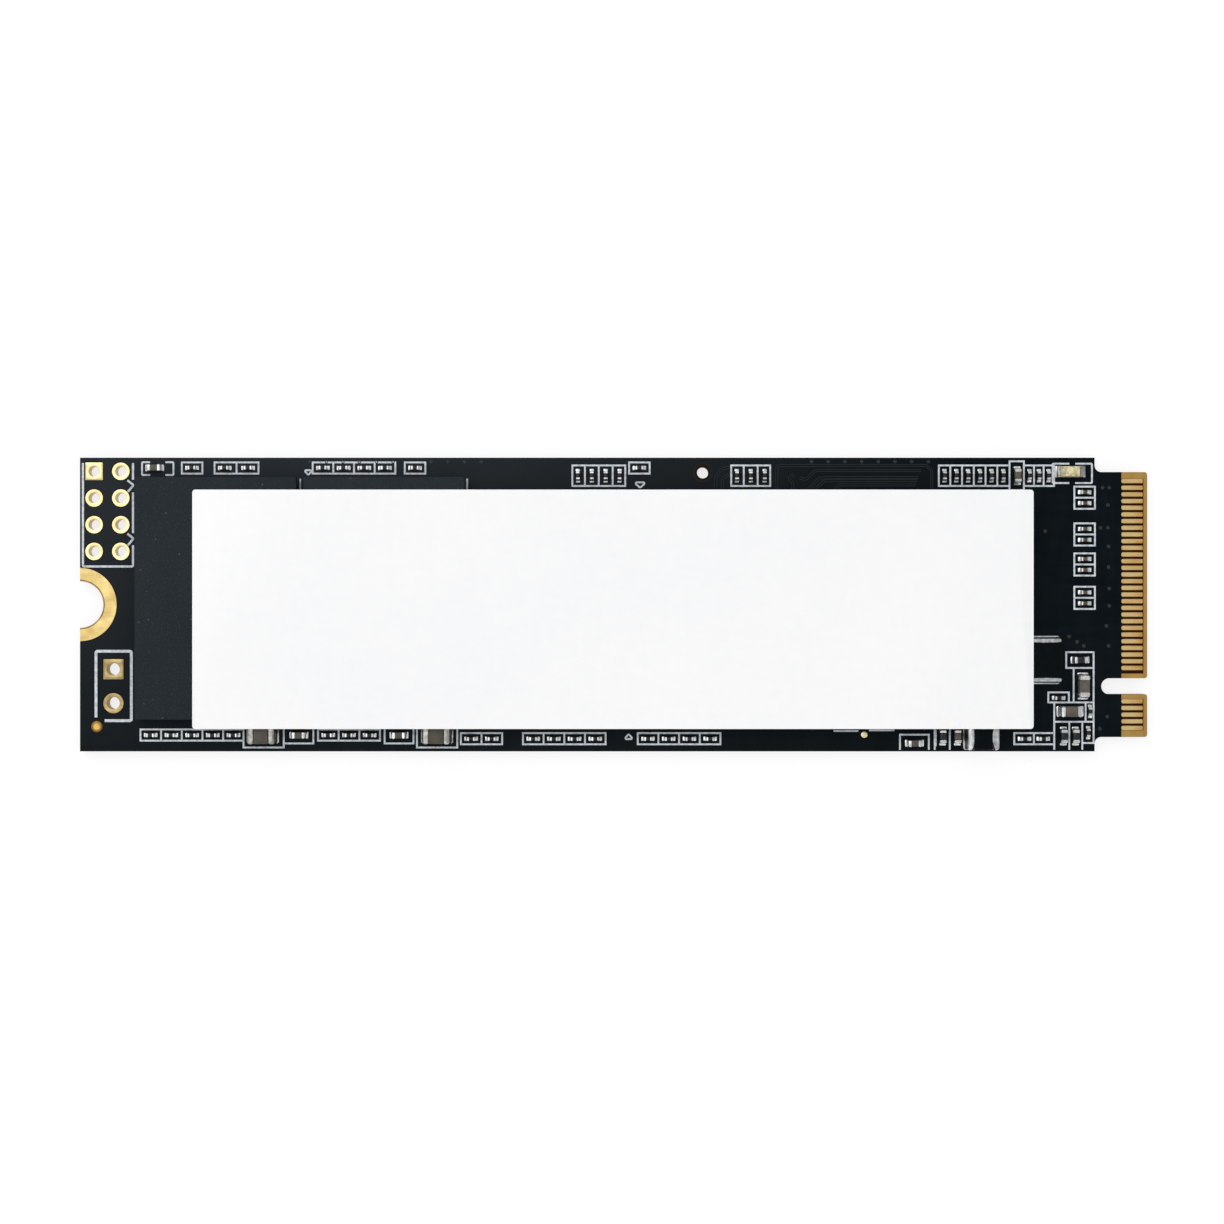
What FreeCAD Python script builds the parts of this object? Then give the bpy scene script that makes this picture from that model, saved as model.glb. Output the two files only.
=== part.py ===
import FreeCAD
import Part
import math
import os
from collections import namedtuple

# A gumstick solid state drive: a narrow circuit board with edge contacts at one end, a screw notch at
# the other, soldered chips and chip parts on its upper face, and a paper label across the chips.
# Millimetres. The origin is the middle of the board's footprint, on its underside.
# X runs from the screw notch to the contacts, Y across the board and Z up through the parts.

# Board
board_length = 80.0
board_width = 22.0
board_thickness = 0.8
copper_thickness = 0.035
mask_clearance = 0.06

# Contact tongue and its key slot
tongue_length = 4.0
shoulder_depth = 1.075
shoulder_radius = 0.5
tip_radius = 0.2
bare_length = 2.0
bevel_length = 0.35
bevel_depth = 0.16
key_offset = 6.125
key_width = 1.2
key_depth = 3.5
contact_pitch = 0.5
contact_width = 0.35
contact_length = 1.6
contact_margin = 0.675
contact_clip = 0.1
contact_tip_gap = 0.4
key_clearance = 0.225
lane_contacts = (2.5, 8.0, 12.5, 17.5)

# Screw notch at the other end
notch_radius = 1.75
notch_pad_radius = 2.75

# Programming header: two columns of plated holes, the first one square
plating = 0.05
header_pitch = 2.0
header_columns = 2
header_inset = 1.05
header_edge = 1.02
header_hole_radius = 0.4
header_pad_radius = 0.66
header_notch_gap = 0.3
pad_sides = 14

# Jumper header: two plated holes, the first one square
jumper_pitch = 2.54
jumper_inset = 2.5
jumper_edge = 3.61
jumper_hole_radius = 0.47
jumper_pad_radius = 0.76

# Tooling hole and bare test pads
tooling_inset = 46.65
tooling_edge = 1.12
tooling_radius = 0.43
tooling_relief = 0.2
corner_pad_inset = 1.25
corner_pad_edge = 1.85
corner_pad_radius = 0.42
edge_pad_inset = 58.75
edge_pad_edge = 1.25
edge_pad_radius = 0.24

# Chips: the two memory packages stand in a row, and all the packages reach the same height
package_height = 1.2
memory_length = 12.0
memory_width = 18.0
memory_inset = 4.4
memory_gap = 0.5
memory_shift = 0.45
cache_length = 8.0
cache_width = 13.0
cache_gap = 3.0
controller_side = 14.0
power_chip_side = 4.0
power_chip_height = 0.8
power_chip_reach = 11.0
crystal_length = 2.5
crystal_width = 2.0
crystal_height = 0.6
crystal_reach = 13.5
crystal_shift = 5.5

# Label across the chips
label_length = 62.4
label_width = 17.75
label_thickness = 0.15
label_inset = 8.73
label_shift = -0.36
label_radius = 0.2
label_headroom = 0.25

# Chip parts: length, width, height and the plated end, from the smallest size to the largest
small_length = 0.6
small_width = 0.3
small_height = 0.28
small_end = 0.15
short_length = 1.0
short_width = 0.5
short_height = 0.45
short_end = 0.25
middle_length = 1.6
middle_width = 0.8
middle_height = 0.7
middle_end = 0.35
bulk_length = 2.0
bulk_width = 1.25
bulk_end = 0.45
led_length = 1.9
led_width = 0.85
led_base_height = 0.22
led_lens_height = 0.3
led_lens_taper = 0.08
led_end = 0.25
power_coil_length = 3.2
power_coil_width = 2.5
power_coil_end = 0.3
filter_coil_length = 2.3
filter_coil_width = 2.0
filter_coil_end = 0.5
body_step = 0.02
solder_reach = 0.2
solder_toe = 0.04

# Lines that the chip parts stand on, as distances in from the long edges
upright_edge = 1.35
led_edge = 1.05
lower_row_edge = 0.95
lower_cap_edge = 0.62
lower_coil_edge = 1.15
close_upright_edge = 1.4
end_cap_edge = 3.0
end_small_edge = 4.0
tall_cap_edge = 4.9
power_coil_edge = 6.85

# Steps along the rows of chip parts, and between the two capacitors of a lane
cell_pitch = 1.55
end_cell_pitch = 1.4
upright_pitch = 1.04
short_pitch = 0.9
tight_pitch = 0.88
close_pitch = 0.72
lane_gap = 0.82

# Where the rows start, measured from the screw end
upper_cap_start = 5.6
upper_first_start = 8.4
upper_second_start = 10.85
upper_third_start = 12.6
upper_run_start = 18.2
upper_last_start = 25.1
cache_upright_start = 37.3
cache_single_start = 41.9
controller_upright_start = 49.2
lower_run_start = 5.3
first_bulk_start = 13.7
first_lower_cap_start = 16.4
lower_second_run_start = 18.6
second_lower_cap_start = 23.9
second_bulk_start = 26.75
lower_third_run_start = 29.3
cache_run_start = 33.95
controller_run_start = 42.55

# How far the parts near the contacts stand from the contact end
lower_cap_reach = 17.5
first_short_reach = 15.4
upright_reach = 15.25
lower_upright_cap_reach = 14.3
filter_coil_reach = 12.5
upper_cap_reach = 9.8
end_run_reach = 9.25
close_reach = 8.9
power_coil_reach = 7.9
end_small_reach = 6.7
short_pair_reach = 6.35
end_cap_reach = 5.85
led_reach = 5.85
second_short_reach = 5.1
tall_cap_reach = 4.9
lane_reach = 4.75
end_close_reach = 4.5
end_upright_reach = 4.35

Size = namedtuple("Size", "length width height end")
Spot = namedtuple("Spot", "x y turned")

tall_height = package_height - label_headroom
SMALL = Size(small_length, small_width, small_height, small_end)
SHORT = Size(short_length, short_width, short_height, short_end)
MIDDLE = Size(middle_length, middle_width, middle_height, middle_end)
BULK = Size(bulk_length, bulk_width, tall_height, bulk_end)
LED = Size(led_length, led_width, led_base_height, led_end)
POWER_COIL = Size(power_coil_length, power_coil_width, tall_height, power_coil_end)
FILTER_COIL = Size(filter_coil_length, filter_coil_width, tall_height, filter_coil_end)

left = -board_length / 2
tip = board_length / 2
shoulder = tip - tongue_length
upper_edge = board_width / 2
lower_edge = -board_width / 2
tongue_half = upper_edge - shoulder_depth
board_top = board_thickness
copper_top = board_thickness - copper_thickness
chip_top = board_top + package_height

memory_top = memory_shift + memory_width / 2
memory_bottom = memory_shift - memory_width / 2
upper_strip = (memory_top + upper_edge) / 2
lower_strip = (memory_bottom + lower_edge) / 2
upright_line = upper_edge - upright_edge
lower_row = lower_edge + lower_row_edge
lower_coil_line = lower_edge + lower_coil_edge
end_cap_line = lower_edge + end_cap_edge
power_coil_line = lower_edge + power_coil_edge

UP = FreeCAD.Vector(0, 0, 1)
ORIGIN = FreeCAD.Vector(0, 0, 0)
SAME_POINT = 1e-6
FACES = (0, copper_top)

contact_gaps = math.floor(2 * (tongue_half - contact_margin) / contact_pitch + SAME_POINT)
first_contact = contact_gaps * contact_pitch / 2


def block(x, y, z, length, width, height):
    """A box whose footprint is centred on (x, y) and which stands on z."""
    corner = FreeCAD.Vector(x - length / 2, y - width / 2, z)
    return Part.makeBox(length, width, height, corner)


def post(x, y, z, radius, height, sides=0):
    """An upright cylinder that stands on z, or a prism where its number of sides is given."""
    centre = FreeCAD.Vector(x, y, z)
    if not sides:
        return Part.makeCylinder(radius, height, centre)
    turns = [2 * math.pi * i / sides for i in range(sides + 1)]
    corners = [centre + FreeCAD.Vector(math.cos(turn), math.sin(turn), 0) * radius for turn in turns]
    return Part.Face(Part.makePolygon(corners)).extrude(UP * height)


def corner_bend(before, corner, after, radius):
    """Start, middle and end of the arc that rounds a corner."""
    back = (before - corner).normalize()
    ahead = (after - corner).normalize()
    half_angle = back.getAngle(ahead) / 2
    run = radius / math.tan(half_angle)
    depth = radius / math.sin(half_angle) - radius
    return corner + back * run, corner + (back + ahead).normalize() * depth, corner + ahead * run


def rounded_outline(corners):
    """A closed flat wire through (x, y, radius) corners, with an arc at each corner that has a radius."""
    points = [FreeCAD.Vector(x, y, 0) for x, y, _ in corners]
    following = points[1:] + points[:1]
    bends = [
        corner_bend(points[i - 1], points[i], following[i], radius)
        for i, (_, _, radius) in enumerate(corners)
    ]
    edges = []
    for (_, _, radius), bend, next_bend in zip(corners, bends, bends[1:] + bends[:1]):
        if radius:
            edges.append(Part.Arc(*bend).toShape())
        if not bend[2].isEqual(next_bend[0], SAME_POINT):
            edges.append(Part.LineSegment(bend[2], next_bend[0]).toShape())
    return Part.Wire(edges)


def plate(corners, z, thickness):
    """A flat plate with a rounded outline, standing on z."""
    solid = Part.Face(rounded_outline(corners)).extrude(UP * thickness)
    solid.translate(UP * z)
    return solid


def rectangle(x, y, length, width, radius):
    """Corners of a rectangle centred on (x, y)."""
    return [
        (x + sx * length / 2, y + sy * width / 2, radius)
        for sx, sy in ((-1, -1), (1, -1), (1, 1), (-1, 1))
    ]


def tapered_block(x, y, z, length, width, height, taper):
    """A block on z whose top is smaller than its foot by the taper on every side."""
    foot = rounded_outline(rectangle(x, y, length, width, 0))
    crown = rounded_outline(rectangle(x, y, length - 2 * taper, width - 2 * taper, 0))
    foot.translate(UP * z)
    crown.translate(UP * (z + height))
    return Part.makeLoft([foot, crown], True, True)


def header_spots():
    """Centres of the programming header's holes, from the square pad in the corner down to the notch."""
    first_row = upper_edge - header_edge
    lowest_row = notch_pad_radius + header_notch_gap + header_pad_radius
    rows = math.floor((first_row - lowest_row) / header_pitch) + 1
    return [
        (left + header_inset + column * header_pitch, first_row - row * header_pitch)
        for row in range(rows)
        for column in range(header_columns)
    ]


def jumper_spots():
    """Centres of the jumper header's holes, starting with the square pad."""
    lower_hole = lower_edge + jumper_edge
    return [(left + jumper_inset, y) for y in (lower_hole + jumper_pitch, lower_hole)]


def test_pad_spots():
    """Centre and radius of each bare test pad."""
    return [
        (left + corner_pad_inset, lower_edge + corner_pad_edge, corner_pad_radius),
        (left + edge_pad_inset, lower_edge + edge_pad_edge, edge_pad_radius),
    ]


def spool(x, y, sleeve_radius, pad_radius, sides, square):
    """A sleeve through the board with a flange in each face, round or square, and no bore yet."""
    sleeve = post(x, y, 0, sleeve_radius, board_thickness, sides)
    if square:
        flanges = [block(x, y, z, 2 * pad_radius, 2 * pad_radius, copper_thickness) for z in FACES]
    else:
        flanges = [post(x, y, z, pad_radius, copper_thickness, sides) for z in FACES]
    return sleeve.multiFuse(flanges)


def plated_hole(x, y, hole_radius, pad_radius, sides=0, square=False):
    """The plating of a hole: a thin sleeve with a flange sunk in each face of the board."""
    filled = spool(x, y, hole_radius + plating, pad_radius, sides, square)
    bore = post(x, y, 0, hole_radius, board_thickness)
    return filled.cut(bore).removeSplitter()


def pad_seat(x, y, hole_radius, pad_radius, sides=0, square=False):
    """What the board loses to a plated hole: the drilled hole and the openings in the solder mask."""
    return spool(x, y, hole_radius + plating, pad_radius + mask_clearance, sides, square)


def header_holes(maker):
    """The programming header's eight holes, made by plated_hole or pad_seat."""
    return [
        maker(x, y, header_hole_radius, header_pad_radius, pad_sides, square=(i == 0))
        for i, (x, y) in enumerate(header_spots())
    ]


def jumper_holes(maker):
    """The jumper header's two holes, made by plated_hole or pad_seat."""
    return [
        maker(x, y, jumper_hole_radius, jumper_pad_radius, pad_sides, square=(i == 0))
        for i, (x, y) in enumerate(jumper_spots())
    ]


def bare_zones():
    """The strip at the tongue's end, on both faces, that has no solder mask."""
    zone_length = bare_length + tip_radius
    middle = tip - bare_length + zone_length / 2
    return [block(middle, 0, z, zone_length, board_width, copper_thickness) for z in FACES]


def tip_bevels():
    """Wedges that take the sharp edge off the tongue's end, above and below."""
    wedges = []
    for face, inside in ((copper_thickness, 1), (copper_top, -1)):
        profile = [
            FreeCAD.Vector(tip - bevel_length, -upper_edge, face),
            FreeCAD.Vector(tip, -upper_edge, face + inside * bevel_depth),
            FreeCAD.Vector(tip, -upper_edge, face),
        ]
        wire = Part.makePolygon(profile + profile[:1])
        wedges.append(Part.Face(wire).extrude(FreeCAD.Vector(0, board_width, 0)))
    return wedges


def tooling_cuts():
    """The tooling hole, with its ring of bare laminate on both faces."""
    x = left + tooling_inset
    y = upper_edge - tooling_edge
    ring = tooling_radius + tooling_relief
    rings = [post(x, y, z, ring, copper_thickness, pad_sides) for z in FACES]
    return [post(x, y, 0, tooling_radius, board_thickness)] + rings


def circuit_board():
    """The bare board: outline, key slot, screw notch, holes, mask openings and bevelled tongue."""
    key_end = tip - key_depth
    key_high = -key_offset + key_width / 2
    key_low = -key_offset - key_width / 2
    outline = [
        (left, lower_edge, 0),
        (shoulder, lower_edge, 0),
        (shoulder, -tongue_half, shoulder_radius),
        (tip, -tongue_half, tip_radius),
        (tip, key_low, tip_radius),
        (key_end, key_low, key_width / 2),
        (key_end, key_high, key_width / 2),
        (tip, key_high, tip_radius),
        (tip, tongue_half, tip_radius),
        (shoulder, tongue_half, shoulder_radius),
        (shoulder, upper_edge, 0),
        (left, upper_edge, 0),
    ]
    cuts = [post(left, 0, 0, notch_radius, board_thickness)]
    cuts += [post(left, 0, z, notch_pad_radius + mask_clearance, copper_thickness) for z in FACES]
    cuts += header_holes(pad_seat) + jumper_holes(pad_seat)
    cuts += bare_zones() + tip_bevels() + tooling_cuts()
    cuts += [
        post(x, y, copper_top, radius + mask_clearance, copper_thickness)
        for x, y, radius in test_pad_spots()
    ]
    return [plate(outline, 0, board_thickness).cut(cuts).removeSplitter()]


def mounting_pads():
    """The gilt half rings round the screw notch, one in each face of the board."""
    inside = block(left + notch_pad_radius, 0, 0, 2 * notch_pad_radius, board_width, board_thickness)
    bore = post(left, 0, 0, notch_radius, board_thickness)
    discs = [post(left, 0, z, notch_pad_radius, copper_thickness) for z in FACES]
    return [disc.cut(bore).common(inside) for disc in discs]


def contacts(z, first, count):
    """One face's row of edge contacts, without those that the key slot takes away."""
    outer = tip - contact_tip_gap
    inner = outer - contact_length
    keep_out = key_width / 2 + key_clearance + contact_width / 2
    row = []
    for i in range(count):
        y = first - i * contact_pitch
        if abs(y + key_offset) < keep_out:
            continue
        side = contact_width / 2
        outline = [
            (inner, y + side - contact_clip, 0),
            (inner, y - side + contact_clip, 0),
            (inner + contact_clip, y - side, 0),
            (outer, y - side, 0),
            (outer, y + side, 0),
            (inner + contact_clip, y + side, 0),
        ]
        row.append(plate(outline, z, copper_thickness))
    return row


def contact_rows():
    """The upper contacts, and the lower ones half a pitch between them."""
    upper = contacts(copper_top, first_contact, contact_gaps + 1)
    lower = contacts(0, first_contact - contact_pitch / 2, contact_gaps)
    return upper, lower


def test_pads():
    """Bare gilt test pads on the upper face."""
    return [post(x, y, copper_top, radius, copper_thickness) for x, y, radius in test_pad_spots()]


def memory_chip(index):
    """A memory package, counted from the screw end."""
    x = left + memory_inset + memory_length / 2 + index * (memory_length + memory_gap)
    return [block(x, memory_shift, board_top, memory_length, memory_width, package_height)]


def cache_place():
    """Centre of the cache chip, which stands beyond the second memory package."""
    return left + memory_inset + 2 * memory_length + memory_gap + cache_gap + cache_length / 2


def cache_chip():
    """The cache memory package."""
    return [block(cache_place(), 0, board_top, cache_length, cache_width, package_height)]


def power_chip():
    """The power chip, level with its inductor."""
    x = tip - power_chip_reach - power_chip_side / 2
    return [block(x, power_coil_line, board_top, power_chip_side, power_chip_side, power_chip_height)]


def controller_chip():
    """The controller, midway between the cache chip and the power chip."""
    free_from = cache_place() + cache_length / 2
    free_to = tip - power_chip_reach - power_chip_side
    x = (free_from + free_to) / 2
    return [block(x, 0, board_top, controller_side, controller_side, package_height)]


def crystal():
    """The crystal in its metal can."""
    x = tip - crystal_reach
    return [block(x, crystal_shift, board_top, crystal_length, crystal_width, crystal_height)]


def label():
    """The label, which lies on the packages and bridges the gaps between them."""
    x = left + label_inset + label_length / 2
    corners = rectangle(x, label_shift, label_length, label_width, label_radius)
    return [plate(corners, chip_top, label_thickness)]


def row(first, y, count=1, pitch=0.0, turned=False):
    """Spots of a row of chip parts, first measured from the screw end."""
    return [Spot(left + first + i * pitch, y, turned) for i in range(count)]


def end_row(reach, y, count=1, pitch=0.0, turned=False):
    """Spots of a row of chip parts, reach measured back from the contact end."""
    return [Spot(tip - reach + i * pitch, y, turned) for i in range(count)]


def lane_pairs():
    """The pairs of coupling capacitors, each beside the contacts of its lane."""
    middles = [first_contact - steps * contact_pitch for steps in lane_contacts]
    return [Spot(tip - lane_reach, y + side * lane_gap / 2, False) for y in middles for side in (1, -1)]


def small_groups():
    """The groups of the smallest chip parts: each one's node name, size and spots."""
    memory_upper = [
        row(upper_first_start, upper_strip),
        row(upper_second_start, upper_strip),
        row(upper_third_start, upper_strip),
        row(upper_run_start, upper_strip, 4, cell_pitch),
        row(upper_last_start, upper_strip),
    ]
    memory_lower = [
        row(lower_run_start, lower_strip, 5, cell_pitch),
        row(lower_second_run_start, lower_strip, 3, cell_pitch),
        row(lower_third_run_start, lower_row, 2, cell_pitch),
    ]
    cache = [
        row(cache_upright_start, upright_line, 4, upright_pitch, turned=True),
        row(cache_single_start, upper_strip),
        row(controller_upright_start, upright_line, 3, upright_pitch, turned=True),
        row(cache_run_start, lower_row, 4, cell_pitch),
        row(controller_run_start, lower_row, 4, cell_pitch),
    ]
    controller = [
        end_row(upright_reach, upright_line, 6, tight_pitch, turned=True),
        end_row(close_reach, upright_line, 3, close_pitch, turned=True),
        end_row(end_run_reach, lower_row, 2, end_cell_pitch),
        end_row(end_small_reach, lower_edge + end_small_edge),
        end_row(end_upright_reach, end_cap_line, turned=True),
        end_row(end_close_reach, lower_edge + close_upright_edge, turned=True),
    ]
    return [
        ("memory_resistors_upper", SMALL, sum(memory_upper, [])),
        ("memory_resistors_lower", SMALL, sum(memory_lower, [])),
        ("cache_resistors", SMALL, sum(cache, [])),
        ("controller_resistors", SMALL, sum(controller, [])),
        ("coupling_capacitors", SMALL, lane_pairs()),
    ]


def larger_groups():
    """The groups of the larger chip parts: each one's node name, size and spots."""
    resistors = [
        end_row(first_short_reach, lower_coil_line, turned=True),
        end_row(short_pair_reach, lower_coil_line, 2, short_pitch, turned=True),
        end_row(second_short_reach, power_coil_line),
    ]
    filters = [
        row(upper_cap_start, upper_strip),
        row(first_lower_cap_start, lower_strip),
        row(second_lower_cap_start, lower_strip),
        end_row(lower_cap_reach, lower_edge + lower_cap_edge),
        end_row(lower_upright_cap_reach, lower_coil_line, turned=True),
        end_row(upper_cap_reach, upright_line, turned=True),
    ]
    power = [
        end_row(tall_cap_reach, lower_edge + tall_cap_edge, turned=True),
        end_row(end_cap_reach, end_cap_line),
    ]
    bulk = row(first_bulk_start, lower_strip) + row(second_bulk_start, lower_strip)
    return [
        ("power_resistors", SHORT, sum(resistors, [])),
        ("filter_capacitors", SHORT, sum(filters, [])),
        ("power_capacitors", MIDDLE, sum(power, [])),
        ("bulk_capacitors", BULK, bulk),
        ("status_led", LED, end_row(led_reach, upper_edge - led_edge)),
        ("power_inductor", POWER_COIL, end_row(power_coil_reach, power_coil_line, turned=True)),
        ("filter_inductor", FILTER_COIL, end_row(filter_coil_reach, lower_coil_line)),
    ]


def status_led_lens():
    """The lamp's lens, which fills its base between the soldered ends."""
    foot = part_body(LED).BoundBox
    x = tip - led_reach
    y = upper_edge - led_edge
    z = board_top + foot.ZMax
    return [tapered_block(x, y, z, foot.XLength, foot.YLength, led_lens_height, led_lens_taper)]


def placed(shape, spot):
    """A chip part's piece, made along X at the origin, stood on the board at its spot."""
    piece = shape.copy()
    if spot.turned:
        piece.rotate(ORIGIN, UP, 90)
    piece.translate(FreeCAD.Vector(spot.x, spot.y, board_top))
    return piece


def part_body(size):
    """A chip part's body, a little smaller all round than its plated ends."""
    between_ends = size.length - 2 * size.end
    return block(0, 0, 0, between_ends, size.width - 2 * body_step, size.height - body_step)


def part_end(size):
    """A chip part's plated end, with the solder that runs down from it to the board."""
    inner = size.length / 2 - size.end
    outer = size.length / 2
    toe = outer + solder_reach
    profile = [
        FreeCAD.Vector(inner, -size.width / 2, 0),
        FreeCAD.Vector(inner, -size.width / 2, size.height),
        FreeCAD.Vector(outer, -size.width / 2, size.height),
        FreeCAD.Vector(toe, -size.width / 2, solder_toe),
        FreeCAD.Vector(toe, -size.width / 2, 0),
    ]
    wire = Part.makePolygon(profile + profile[:1])
    return Part.Face(wire).extrude(FreeCAD.Vector(0, size.width, 0))


def chip_parts():
    """Bodies and soldered ends of all the chip parts, as a node of each for every group."""
    nodes = {}
    for name, size, spots in small_groups() + larger_groups():
        body = part_body(size)
        near_end = part_end(size)
        far_end = near_end.copy()
        far_end.rotate(ORIGIN, UP, 180)
        nodes[name] = [placed(body, spot) for spot in spots]
        nodes[name + "_ends"] = [placed(end, spot) for spot in spots for end in (near_end, far_end)]
    return nodes


def all_nodes():
    """Every node of the drive, each a list of solids."""
    upper_contacts, lower_contacts = contact_rows()
    nodes = {
        "circuit_board": circuit_board(),
        "contact_fingers_upper": upper_contacts,
        "contact_fingers_lower": lower_contacts,
        "mounting_pads": mounting_pads(),
        "programming_header_pads": header_holes(plated_hole),
        "jumper_header_pads": jumper_holes(plated_hole),
        "test_pads": test_pads(),
        "memory_chip_outer": memory_chip(0),
        "memory_chip_inner": memory_chip(1),
        "cache_chip": cache_chip(),
        "controller_chip": controller_chip(),
        "power_chip": power_chip(),
        "crystal": crystal(),
        "label": label(),
        "status_led_lens": status_led_lens(),
    }
    nodes.update(chip_parts())
    return nodes


def main():
    """Writes one file for each node."""
    os.makedirs("parts", exist_ok=True)
    for name, solids in all_nodes().items():
        shape = solids[0] if len(solids) == 1 else Part.makeCompound(solids)
        shape.exportStep(os.path.join("parts", name + ".step"))


main()
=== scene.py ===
"""A gumstick solid state drive, dressed for the camera.

Metres, in the frame's own axes: X runs from the screw notch to the contacts, Y across the board,
Z up from its underside. Places on the board are given in millimetres from the notch end.
"""
import itertools
import math
from collections import namedtuple

import bmesh
import bpy
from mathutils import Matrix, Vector


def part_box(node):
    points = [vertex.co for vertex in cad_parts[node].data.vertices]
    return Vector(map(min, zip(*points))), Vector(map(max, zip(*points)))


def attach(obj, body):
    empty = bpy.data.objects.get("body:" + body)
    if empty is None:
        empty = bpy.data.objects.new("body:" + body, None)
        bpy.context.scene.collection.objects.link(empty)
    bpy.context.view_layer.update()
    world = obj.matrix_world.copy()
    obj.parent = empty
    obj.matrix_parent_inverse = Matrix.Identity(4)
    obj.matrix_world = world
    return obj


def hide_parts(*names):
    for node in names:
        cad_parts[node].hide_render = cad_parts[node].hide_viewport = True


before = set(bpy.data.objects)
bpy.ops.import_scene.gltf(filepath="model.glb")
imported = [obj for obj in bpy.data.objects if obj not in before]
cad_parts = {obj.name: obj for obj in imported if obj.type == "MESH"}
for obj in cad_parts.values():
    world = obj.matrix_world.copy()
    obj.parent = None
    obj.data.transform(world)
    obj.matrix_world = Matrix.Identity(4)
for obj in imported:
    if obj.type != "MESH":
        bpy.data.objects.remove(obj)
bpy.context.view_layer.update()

MM = 0.001
QUARTER = math.pi / 2
CORNER_STEPS = 6

# Lengths under which two places count as one
SAME = 1e-6
MERGE = 1e-4 * MM

# The board, as the frame gives it
BOARD_LOW, BOARD_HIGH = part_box("circuit_board")
TOP = BOARD_HIGH.z
NOTCH_END = BOARD_LOW.x
UPPER_EDGE = BOARD_HIGH.y
LOWER_EDGE = BOARD_LOW.y
CONTACT_LOW, CONTACT_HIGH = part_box("contact_fingers_upper")
FOIL = TOP - CONTACT_LOW.z

# Plating and pads
PLATING = 0.05 * MM
LIP = 0.014 * MM
PAD_SIDES = 48
RUN_GAP = 0.3 * MM

# Ends of the contacts: radii as shares of half their width
CONTACT_INNER = 0.96
CONTACT_OUTER = 0.3

# Angles in degrees past which an edge keeps its crease
CREASE = 35
SOFT_CREASE = 50
ROUND_CREASE = 60

# Packages
BALL_HEIGHT = 0.2 * MM
CARRIER_HEIGHT = 0.22 * MM
BALL_PITCH = 1.0 * MM
PACKAGE_EDGE = 0.05 * MM
LAND_STEPS = range(-3, 4)
LAND_PITCH = 0.5 * MM
LAND_REACH = 0.12 * MM
LAND_HEIGHT = 0.2 * MM
LAND_PROUD = 0.01 * MM
TRAY_SHARE = 0.55
LID_INSET = Vector((0.1, 0.1, 0)) * MM
LID_RADIUS = 0.25 * MM
LID_EDGE = 0.06 * MM

# Chip parts
BODY_EDGE = 0.09
END_EDGE = 0.1
FILLET_CLIMB = 0.66
SHOULDER = 0.3
SHOULDER_STEPS = 3
FILLET_STEPS = 5
SEAT_SWAY = math.radians(1.2)
SEAT_SEED = 11
LENS_EDGE = 0.05 * MM
LENS_TAPER = 0.12

# Print, traces and filled holes
FRAME_WIDTH = 0.13 * MM
MARK_WIDTH = 0.16 * MM
BROAD_WIDTH = 0.21 * MM
PRINT_THICKNESS = 0.014 * MM
CROSSING_LIFT = 0.003 * MM
FRAME_MARGIN = 0.27 * MM
WIDE_MARGINS = {
    "filter_capacitors": 0.38 * MM,
    "power_resistors": 0.33 * MM,
    "bulk_capacitors": 0.31 * MM,
}
SHARED_GAP = 0.75 * MM
NEAR_LINE = 0.22 * MM
EDGE_CLEARANCE = 0.12 * MM
PRINT_LOW, PRINT_HIGH = LOWER_EDGE + EDGE_CLEARANCE, UPPER_EDGE - EDGE_CLEARANCE
PRINT_BEND = 0.6
TRACE_WIDTH = 0.2 * MM
TRACE_THICKNESS = 0.016 * MM
TRACE_CREST_WIDTH = 0.08 * MM
TRACE_CREST_THICKNESS = 0.022 * MM
TRACE_BEND = 0.3 * MM
VIA_RADIUS = 0.14 * MM
VIA_HEIGHT = 0.022 * MM
VIA_SIDES = 12

# Label
LABEL_RADIUS = 0.2 * MM
LABEL_EDGE = 0.03 * MM
LABEL_DIP = 0.012
LABEL_DROOP = 0.09 * MM
LABEL_STEPS = 8

# View: straight down, with the whole board across seven eighths of the picture
VIEW_HEIGHT = 0.13
VIEW_WIDTH = 0.09169
VIEW_SHIFT = Vector((-0.15 * MM, -0.56 * MM, 0))
SENSOR = 36.0

# Floor: its paint, and a glow that only the camera, reflections and clear pieces see
FLOOR_RADIUS = 3.0
FLOOR_SIDES = 96
FLOOR_PAINT = (0.25, 0.25, 0.25, 1)
FLOOR_GLOW = 0.77
RAYS = ("Is Camera Ray", "Is Glossy Ray", "Is Transmission Ray")
WHITE = (1, 1, 1, 1)

# Sky: how high its horizon reaches, and its light there and overhead
HORIZON = 0.05
HORIZON_LIGHT = 1.0
ZENITH_LIGHT = 0.5

Extent = namedtuple("Extent", "low high middle size")
Seat = namedtuple("Seat", "middle turn")
EndForm = namedtuple("EndForm", "inner outer toe lip width height")
Rim = namedtuple("Rim", "place clear dark")


def tone(red, green, blue):
    """A colour as the eye reads it, each part from 0 to 255, in the linear light of shaders."""
    parts = [level / 255 for level in (red, green, blue)]
    linear = [p / 12.92 if p <= 0.04045 else ((p + 0.055) / 1.055) ** 2.4 for p in parts]
    return (*linear, 1.0)


def spot(x, y):
    """A place on the board, x millimetres from the notch end and y from its middle line."""
    return Vector((NOTCH_END + x * MM, y * MM, TOP))


def spots(*places):
    """A row of places on the board."""
    return [spot(*place) for place in places]


TOOLING = spot(46.65, 9.88)


# Node trees


def find(sockets, key):
    """The socket with that identifier, or else the first one in use with that name.

    An underline in the key also stands for a space.
    """
    spaced = key.replace("_", " ")
    for socket in sockets:
        if socket.identifier in (key, spaced):
            return socket
    return next(socket for socket in sockets if socket.enabled and socket.name == spaced)


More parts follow.
